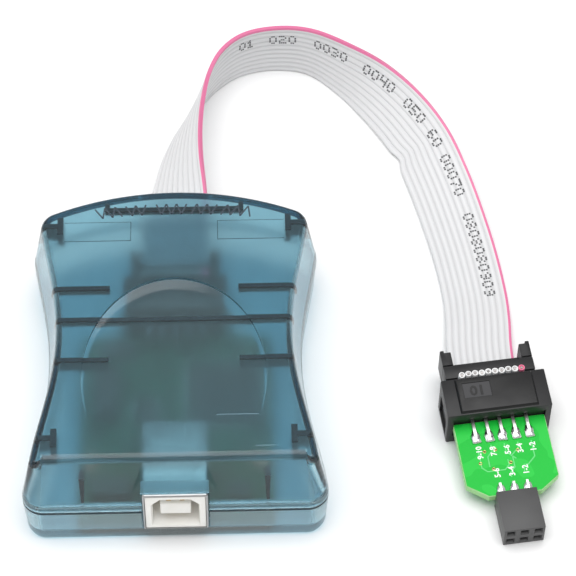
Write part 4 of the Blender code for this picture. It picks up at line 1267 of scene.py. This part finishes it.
def make_header_shroud():
    """The box header: cavity, key notch, raised plate seat and a stepped front face."""
    half, high, deep = HEADER_HALF, HEADER_HALF_HEIGHT, HEADER_DEPTH
    shroud = add_cube("header_shroud", (-half, 0, -high), (half, deep, high))
    bevel(shroud, 0.22 * MM, 2)
    tools = [add_cube("cavity", (-8.9 * MM, 1.9 * MM, -3.25 * MM), (8.9 * MM, deep + MM, 3.25 * MM)),
             add_cube("key", (-2.2 * MM, 3.1 * MM, -high - MM), (2.2 * MM, deep + MM, -3 * MM)),
             add_cube("front_step", (-8.75 * MM, -MM, -2.4 * MM), (8.75 * MM, 0.55 * MM, 2.75 * MM))]
    tools += [side_box("side_slot", side, half - 0.5 * MM, half + MM, (1.2 * MM, -3.6 * MM),
                       (deep - 1.4 * MM, 1.6 * MM)) for side in (-1, 1)]
    tools += [add_cube("hole", (x - 0.4 * MM, -MM, z - 0.4 * MM), (x + 0.4 * MM, 3 * MM, z + 0.4 * MM))
              for x, z in pin_places()]
    for tool in tools:
        cut(shroud, tool)
    return smooth(shroud)


def make_header_plate():
    """The raised plate on the header with its label window sunk into it."""
    base = HEADER_HALF_HEIGHT + 0.02 * MM
    plate = add_cube("header_plate", (-7.45 * MM, 0.25 * MM, base),
                     (7.45 * MM, 7.85 * MM, base + 0.5 * MM))
    select_faces(plate, lambda c, n: n.z > 0.9)
    bpy.ops.transform.resize(value=(0.955, 0.91, 1.0))
    bpy.ops.object.mode_set(mode="OBJECT")
    bevel(plate, 0.1 * MM, 2)
    cut(plate, add_cube("window", (-6.2 * MM, 3.3 * MM, base + 0.38 * MM),
                        (-0.9 * MM, 6.6 * MM, base + MM)))
    return smooth(plate)


def make_header_window():
    """The matt field in the plate that carries the number."""
    base = HEADER_HALF_HEIGHT + 0.30 * MM
    window = add_cube("header_window", (-6.15 * MM, 3.35 * MM, base),
                      (-0.95 * MM, 6.55 * MM, base + 0.14 * MM))
    return smooth(bevel(window, 0.04 * MM, 1))


def make_pins(name, places, start_y, end_y):
    """Square pins with tapered tips, joined into one piece."""
    pin = add_cube("pin", (-PIN / 2, start_y, -PIN / 2), (PIN / 2, end_y - 0.5 * MM, PIN / 2))
    extrude_faces(pin, lambda c, n: n.y > 0.9, (0, 0.5 * MM, 0), (0.5, 1.0, 0.5))
    bevel(pin, 0.05 * MM, 1)
    return copies(pin, name, [Matrix.Translation((x, 0, z)) for x, z in places])


# ---------------------------------------------------------------- the adapter board
def make_card():
    """The adapter board, tapered to its nose and drilled for its vias."""
    plan = ((CARD_HALF, 0.45 * MM), (-CARD_HALF, 0.45 * MM), (-CARD_HALF, SHOULDER_Y),
            (-NOSE_HALF, NOSE_Y), (NOSE_HALF, NOSE_Y), (CARD_HALF, SHOULDER_Y))
    card = bridged("adapter_card", [[Vector((x, y, z)) for x, y in plan]
                                    for z in (-CARD_THICK, CARD_THICK)])
    bevel(card, 0.12 * MM, 1, 40)
    for x, y in VIA_PLACES:
        cut(card, add_cylinder("drill", 0.2 * MM, 4 * MM, (x * MM, y * MM, 0), 14))
    return smooth(card)


def make_traces():
    """Slightly raised lacquered copper tracks."""
    made = []
    for number, points in enumerate(TRACES):
        curve = bpy.data.curves.new(f"trace_{number}", "CURVE")
        curve.dimensions = "3D"
        curve.bevel_depth, curve.bevel_resolution = 0.17 * MM, 1
        curve.use_fill_caps = True
        line = curve.splines.new("POLY")
        line.points.add(len(points) - 1)
        for point, (x, y) in zip(line.points, points):
            point.co = (x * MM, y * MM, 0.0, 1.0)
        obj = bpy.data.objects.new(f"trace_{number}", curve)
        bpy.context.collection.objects.link(obj)
        activate(obj)
        bpy.ops.object.convert(target="MESH")
        bpy.ops.transform.resize(value=(1.0, 1.0, 0.16))
        made.append(settle(bpy.context.object, Matrix.Translation((0, 0, CARD_THICK))))
    return join(made, "adapter_traces")


def make_via_rings():
    """A plated ring around each drilled via."""
    deselect()
    bpy.ops.mesh.primitive_torus_add(major_radius=0.27 * MM, minor_radius=0.08 * MM,
                                     major_segments=18, minor_segments=8)
    ring = settle(named(bpy.context.object, "via"))
    return smooth(copies(ring, "adapter_vias", [
        Matrix.Translation((x * MM, y * MM, CARD_THICK)) for x, y in VIA_PLACES]))


def make_solder_joint(length, width, height):
    """A drop of solder: round in front, drawn out along its pin, sunk at the rim."""
    deselect()
    bpy.ops.mesh.primitive_uv_sphere_add(segments=20, ring_count=12, radius=1.0)
    drop = named(bpy.context.object, "drop")
    for vert in drop.data.vertices:
        along = (vert.co.y + 1) / 2
        ring = max(0.3, math.sqrt(max(0.0, 1 - vert.co.y ** 2)))
        swell = (0.42 + 0.58 * (1 - along) ** 0.5) / ring ** 0.75
        ripple = 1 + 0.1 * math.sin(8 * along + 3 * vert.co.x)
        tail = 0.12 * abs(vert.co.x) * (1 - along)
        vert.co = Vector((vert.co.x * width / 2 * swell * ripple, (vert.co.y - tail) * length / 2,
                          max(vert.co.z, -0.35) * height * ripple))
    return smooth(drop, 60)


def make_solder(name, row, length, width, height, back):
    """A row of solder joints, each turned a little differently on its pin."""
    places = []
    for i, x in enumerate(row):
        spin = Matrix.Rotation(math.radians(5 * math.sin(2.1 * i + 0.4)), 4, "Z")
        places.append(Matrix.Translation((x, back - length / 2, CARD_THICK + 0.12 * MM)) @ spin)
    return copies(make_solder_joint(length, width, height), name, places)


def make_card_legend():
    """White numbers beside the pins, set along the board's length."""
    made = []
    for y, labels, across in LEGEND:
        for label, x in zip(labels, across):
            place = (Matrix.Translation((x * MM, y * MM, CARD_THICK + 0.03 * MM))
                     @ Matrix.Rotation(math.radians(90), 4, "Z"))
            made.append(text_mesh("legend", label, 1.1 * MM, 0.03 * MM, place))
    return join(made, "adapter_legend")


def make_target_block():
    """The six-way target socket with funnel-shaped mouths."""
    rear = NOSE_Y - 0.1 * MM
    front = rear - TARGET_LENGTH
    block = add_cube("target_block", (-TARGET_HALF_X, front, -TARGET_HALF_Z),
                     (TARGET_HALF_X, rear, TARGET_HALF_Z))
    bevel(block, 0.14 * MM, 2)
    for x, z in pin_places(3):
        rings = []
        for y, half in ((front - MM, 1.4), (front + 0.3 * MM, 0.62), (rear + MM, 0.5)):
            rings.append([Vector((x + sx * half * MM, y, z + sz * half * MM))
                          for sx, sz in ((-1, -1), (1, -1), (1, 1), (-1, 1))])
        cut(block, bridged("mouth", rings))
    return smooth(block)


def make_target_contacts():
    """Sprung contacts whose flat tails grip the board's nose."""
    rear = NOSE_Y - 0.1 * MM
    front = rear - TARGET_LENGTH
    made = []
    for i, (x, z) in enumerate(pin_places(3)):
        contact = add_cube(f"contact_{i}", (x - 0.27 * MM, front + 2.6 * MM, z - 0.27 * MM),
                           (x + 0.27 * MM, rear + 2.4 * MM, z + 0.27 * MM))
        made.append(bevel(contact, 0.06 * MM, 1))
    return join(made, "target_contacts")


# ---------------------------------------------------------------- operators
class PROG_OT_stage(bpy.types.Operator):
    """Make the camera, the plain floor and the soft studio light"""
    bl_idname = "prog.stage"
    bl_label = "Stage"

    def execute(self, context):
        settings = context.scene.prog_stage
        data = bpy.data.cameras.new("camera")
        data.lens, data.sensor_width, data.clip_end = CAMERA_LENS, 36.0, 20.0
        data.clip_start = 0.02
        camera = bpy.data.objects.new("camera", data)
        context.collection.objects.link(camera)
        flat = math.cos(CAMERA_ELEVATION) * CAMERA_DISTANCE
        camera.location = LOOK_AT + Vector((-math.sin(CAMERA_BEARING) * flat,
                                            -math.cos(CAMERA_BEARING) * flat,
                                            math.sin(CAMERA_ELEVATION) * CAMERA_DISTANCE))
        toward = LOOK_AT - camera.location
        camera.rotation_euler = toward.to_track_quat("-Z", "Y").to_euler()
        context.scene.camera = camera
        self.make_floor(settings)
        self.make_light(context, settings)
        return {"FINISHED"}

    def make_floor(self, settings):
        deselect()
        bpy.ops.mesh.primitive_plane_add(size=6.0)
        floor = named(bpy.context.object, "floor")
        mat, _, _ = new_material("plain_floor", Base_Color=rgba(settings.floor), Roughness=0.75)
        floor.data.materials.append(mat)

    def make_light(self, context, settings):
        world = bpy.data.worlds.new("studio")
        context.scene.world = world
        world.use_nodes = True
        background = world.node_tree.nodes["Background"]
        background.inputs["Color"].default_value = (1.0, 1.0, 1.0, 1.0)
        background.inputs["Strength"].default_value = settings.world
        lamps = (("overhead", (0.02, -0.05, 0.8), 0.9, settings.key),
                 ("left_fill", (-0.8, -0.1, 0.4), 0.5, settings.key * 0.15))
        for name, place, size, power in lamps:
            data = bpy.data.lights.new(name, "AREA")
            data.energy, data.size, data.shape = power, size, "SQUARE"
            lamp = bpy.data.objects.new(name, data)
            context.collection.objects.link(lamp)
            lamp.location = place
            lamp.rotation_euler = (-Vector(place)).to_track_quat("-Z", "Y").to_euler()
        context.scene.view_settings.view_transform = "Standard"


class PROG_OT_ribbon(bpy.types.Operator):
    """Make the ribbon cable with its printed marks and trimmed ends"""
    bl_idname = "prog.ribbon"
    bl_label = "Ribbon cable"

    def execute(self, context):
        settings = context.scene.prog_cable
        ribbon, stations = make_ribbon(settings)
        finish_piece(ribbon, "case", Finishes.get("ribbon"), ("ribbon_cable",))
        marks = make_ribbon_marks(stations, settings.ridge)
        finish_piece(marks, "case", Finishes.get("ribbon_marks"))
        for place, name in ((CASE_PLUG, "case_wire_ends"), (ADAPTER, "plug_wire_ends")):
            wires, cores, marked = make_cut_ends(place, name)
            # the ends inside the case take the dark painted-shade finish
            jacket = "cut_painted_shade" if place == CASE_PLUG else "cut_plastic"
            for made, finish in ((wires, jacket), (cores, "core"), (marked, "cut_marked")):
                finish_piece(made, "case", Finishes.get(finish))
        return {"FINISHED"}


class PROG_OT_sockets(bpy.types.Operator):
    """Make the two crimped sockets on the ribbon's ends"""
    bl_idname = "prog.sockets"
    bl_label = "Ribbon sockets"

    def execute(self, context):
        parts = make_socket_parts()
        black = Finishes.get("black")
        for place, prefix in ((CASE_PLUG, "case_socket"), (ADAPTER, "adapter_socket")):
            for part, kind in zip(parts, ("body", "cover", "clip")):
                piece = copy_at(part, f"{prefix}_{kind}_moulding", place)
                finish_piece(piece, "case", black, (f"{prefix}_{kind}",))
        discard(*parts)
        return {"FINISHED"}


class PROG_OT_case(bpy.types.Operator):
    """Make the two translucent halves of the case"""
    bl_idname = "prog.case"
    bl_label = "Case"

    def execute(self, context):
        settings = context.scene.prog_case
        outline = case_outline(settings.outline_steps)
        finish_piece(make_lid_shell(settings, outline), "lid",
                     Finishes.get("lid"), ("top_shell",))
        finish_piece(make_base_shell(outline), "case",
                     Finishes.get("base"), ("bottom_shell",))
        # the ribs and the parting gap get the dark painted-shade plastic
        for made, finish in ((make_lid_ribs(), "rib"), (make_rear_marks(), "dark_ink"),
                             (make_mould_lines(), "dark_ink"), (make_pale_lines(), "pale_line"),
                             (make_parting_shadow(outline), "rib")):
            finish_piece(made, "lid", Finishes.get(finish))
        return {"FINISHED"}


class PROG_OT_usb(bpy.types.Operator):
    """Make the USB socket: metal sleeve, moulded block and contacts"""
    bl_idname = "prog.usb"
    bl_label = "USB socket"

    def execute(self, context):
        finish_piece(make_usb_sleeve(), "case", Finishes.get("nickel"),
                     ("usb_shell",))
        finish_piece(make_usb_block(), "case", Finishes.get("cream"),
                     ("usb_insulator",))
        for i in range(1, 5):
            paint_node(f"usb_contact_{i}", Finishes.get("gold"))
        return {"FINISHED"}


class PROG_OT_main_board(bpy.types.Operator):
    """Finish the main board and add the leads and small parts around its chips"""
    bl_idname = "prog.main_board"
    bl_label = "Main board"

    def execute(self, context):
        paint_node("main_board", Finishes.get("main_board"))
        finishes = {"microcontroller": "chip", "memory_chip": "chip", "voltage_regulator": "chip",
                    "crystal": "chip", "bulk_capacitor": "tantalum", "input_fuse": "tantalum",
                    "power_led": "lens", "status_led": "lens"}
        for name, finish in finishes.items():
            paint_node(name, Finishes.get(finish))
        leads = [make_chip_leads("mcu_leads", (9.2 * MM, -5.4 * MM, BOARD_TOP + 0.02 * MM),
                                 7.0 * MM, 7.0 * MM, 1.0 * MM, 12, 12),
                 make_chip_leads("memory_leads", (-5.6 * MM, -9.2 * MM, BOARD_TOP + 0.02 * MM),
                                 2.0 * MM, 3.0 * MM, 1.27 * MM, 4, 0)]
        finish_piece(join(leads, "chip_leads"), "case", Finishes.get("tin"))
        finish_piece(make_small_parts(), "case", Finishes.get("chip"))
        header = settle(named(make_header_shroud(), "board_header_shroud"), CASE_PLUG)
        finish_piece(header, "case", Finishes.get("black"), ("board_header",))
        for i in range(1, 11):
            paint_node(f"board_pin_{i}", Finishes.get("dull_tin"))
        return {"FINISHED"}


class PROG_OT_adapter(bpy.types.Operator):
    """Make the adapter: header, board, solder, legend and target socket"""
    bl_idname = "prog.adapter"
    bl_label = "Adapter"

    def execute(self, context):
        upper = [x for x, z in pin_places() if z > 0]
        nose = [x for x, z in pin_places(3) if z > 0]
        pieces = (
            (make_header_shroud(), "black_plastic", "black", ("adapter_header",)),
            (make_header_plate(), "black_plastic", "plate", ()),
            (make_header_window(), "black_plastic", "window", ()),
            (self.plate_number(), "black_plastic", "plate", ()),
            (make_pins("adapter_pins", pin_places(), -3.4 * MM, 6.6 * MM), "tinned_brass", "tin",
             [f"adapter_pin_{i}" for i in range(1, 11)]),
            (make_traces(), "bright_green_board", "card_trace", ()),
            (make_via_rings(), "tinned_brass", "gold", ()),
            (make_solder("header_solder", upper, 3.0 * MM, 2.1 * MM, 0.62 * MM, -1.35 * MM),
             "tinned_brass", "solder", ()),
            (make_solder("nose_solder", nose, 2.3 * MM, 2.0 * MM, 0.62 * MM, NOSE_Y + 2.3 * MM),
             "tinned_brass", "solder", ()),
            (make_card_legend(), "bright_green_board", "white_ink", ()),
            (make_target_block(), "black_plastic", "target", ("target_socket",)),
            (make_target_contacts(), "tinned_brass", "tin",
             [f"target_contact_{i}" for i in range(1, 7)]),
        )
        for obj, slot, finish, replaced in pieces:
            settle(obj, ADAPTER)
            finish_piece(obj, "adapter", Finishes.get(finish), replaced)
        self.make_board()
        return {"FINISHED"}

    def plate_number(self):
        place = (Matrix.Translation((-3.5 * MM, 4.95 * MM, HEADER_HALF_HEIGHT + 0.47 * MM))
                 @ Matrix.Rotation(math.pi, 4, "Z"))
        return text_mesh("header_number", "10", 2.1 * MM, 0.08 * MM, place)

    def make_board(self):
        """The card has lacquer on its two faces and bare resin on its edge."""
        card = settle(make_card(), ADAPTER)
        finish_piece(card, "adapter",
                     [Finishes.get("card"), Finishes.get("fibre")], ("adapter_board",))
        up = ADAPTER.to_3x3() @ Vector((0.0, 0.0, 1.0))
        for face in card.data.polygons:
            face.material_index = 0 if abs(face.normal.dot(up)) > 0.9 else 1


class PROG_OT_cord(bpy.types.Operator):
    bl_idname = "prog.cord"
    bl_label = "Declare the cord"

    def execute(self, context):
        return {"FINISHED"}


class PROG_PT_sidebar(bpy.types.Panel):
    """The builder's buttons and settings"""
    bl_idname = "PROG_PT_sidebar"
    bl_label = "USB programmer"
    bl_space_type = "VIEW_3D"
    bl_region_type = "UI"
    bl_category = "Programmer"

    def draw(self, context):
        for label, group in (("Case", context.scene.prog_case), ("Cable", context.scene.prog_cable),
                             ("Boards", context.scene.prog_boards),
                             ("Stage", context.scene.prog_stage)):
            section = self.layout.box()
            section.label(text=label)
            for key in group.__annotations__:
                section.prop(group, key)
        for operator in OPERATORS:
            self.layout.operator(operator.bl_idname)


SETTINGS = {"prog_case": CaseSettings, "prog_cable": CableSettings,
            "prog_boards": BoardSettings, "prog_stage": StageSettings}
OPERATORS = (PROG_OT_stage, PROG_OT_ribbon, PROG_OT_sockets, PROG_OT_case, PROG_OT_usb,
             PROG_OT_main_board, PROG_OT_adapter, PROG_OT_cord)


def register():
    for cls in (*SETTINGS.values(), *OPERATORS, PROG_PT_sidebar):
        bpy.utils.register_class(cls)
    for name, cls in SETTINGS.items():
        setattr(bpy.types.Scene, name, bpy.props.PointerProperty(type=cls))


def unregister():
    for name in SETTINGS:
        delattr(bpy.types.Scene, name)
    for cls in reversed((*SETTINGS.values(), *OPERATORS, PROG_PT_sidebar)):
        bpy.utils.unregister_class(cls)


def main():
    register()
    for operator in OPERATORS:
        group, name = operator.bl_idname.split(".")
        getattr(getattr(bpy.ops, group), name)()


if __name__ == "__main__":
    main()
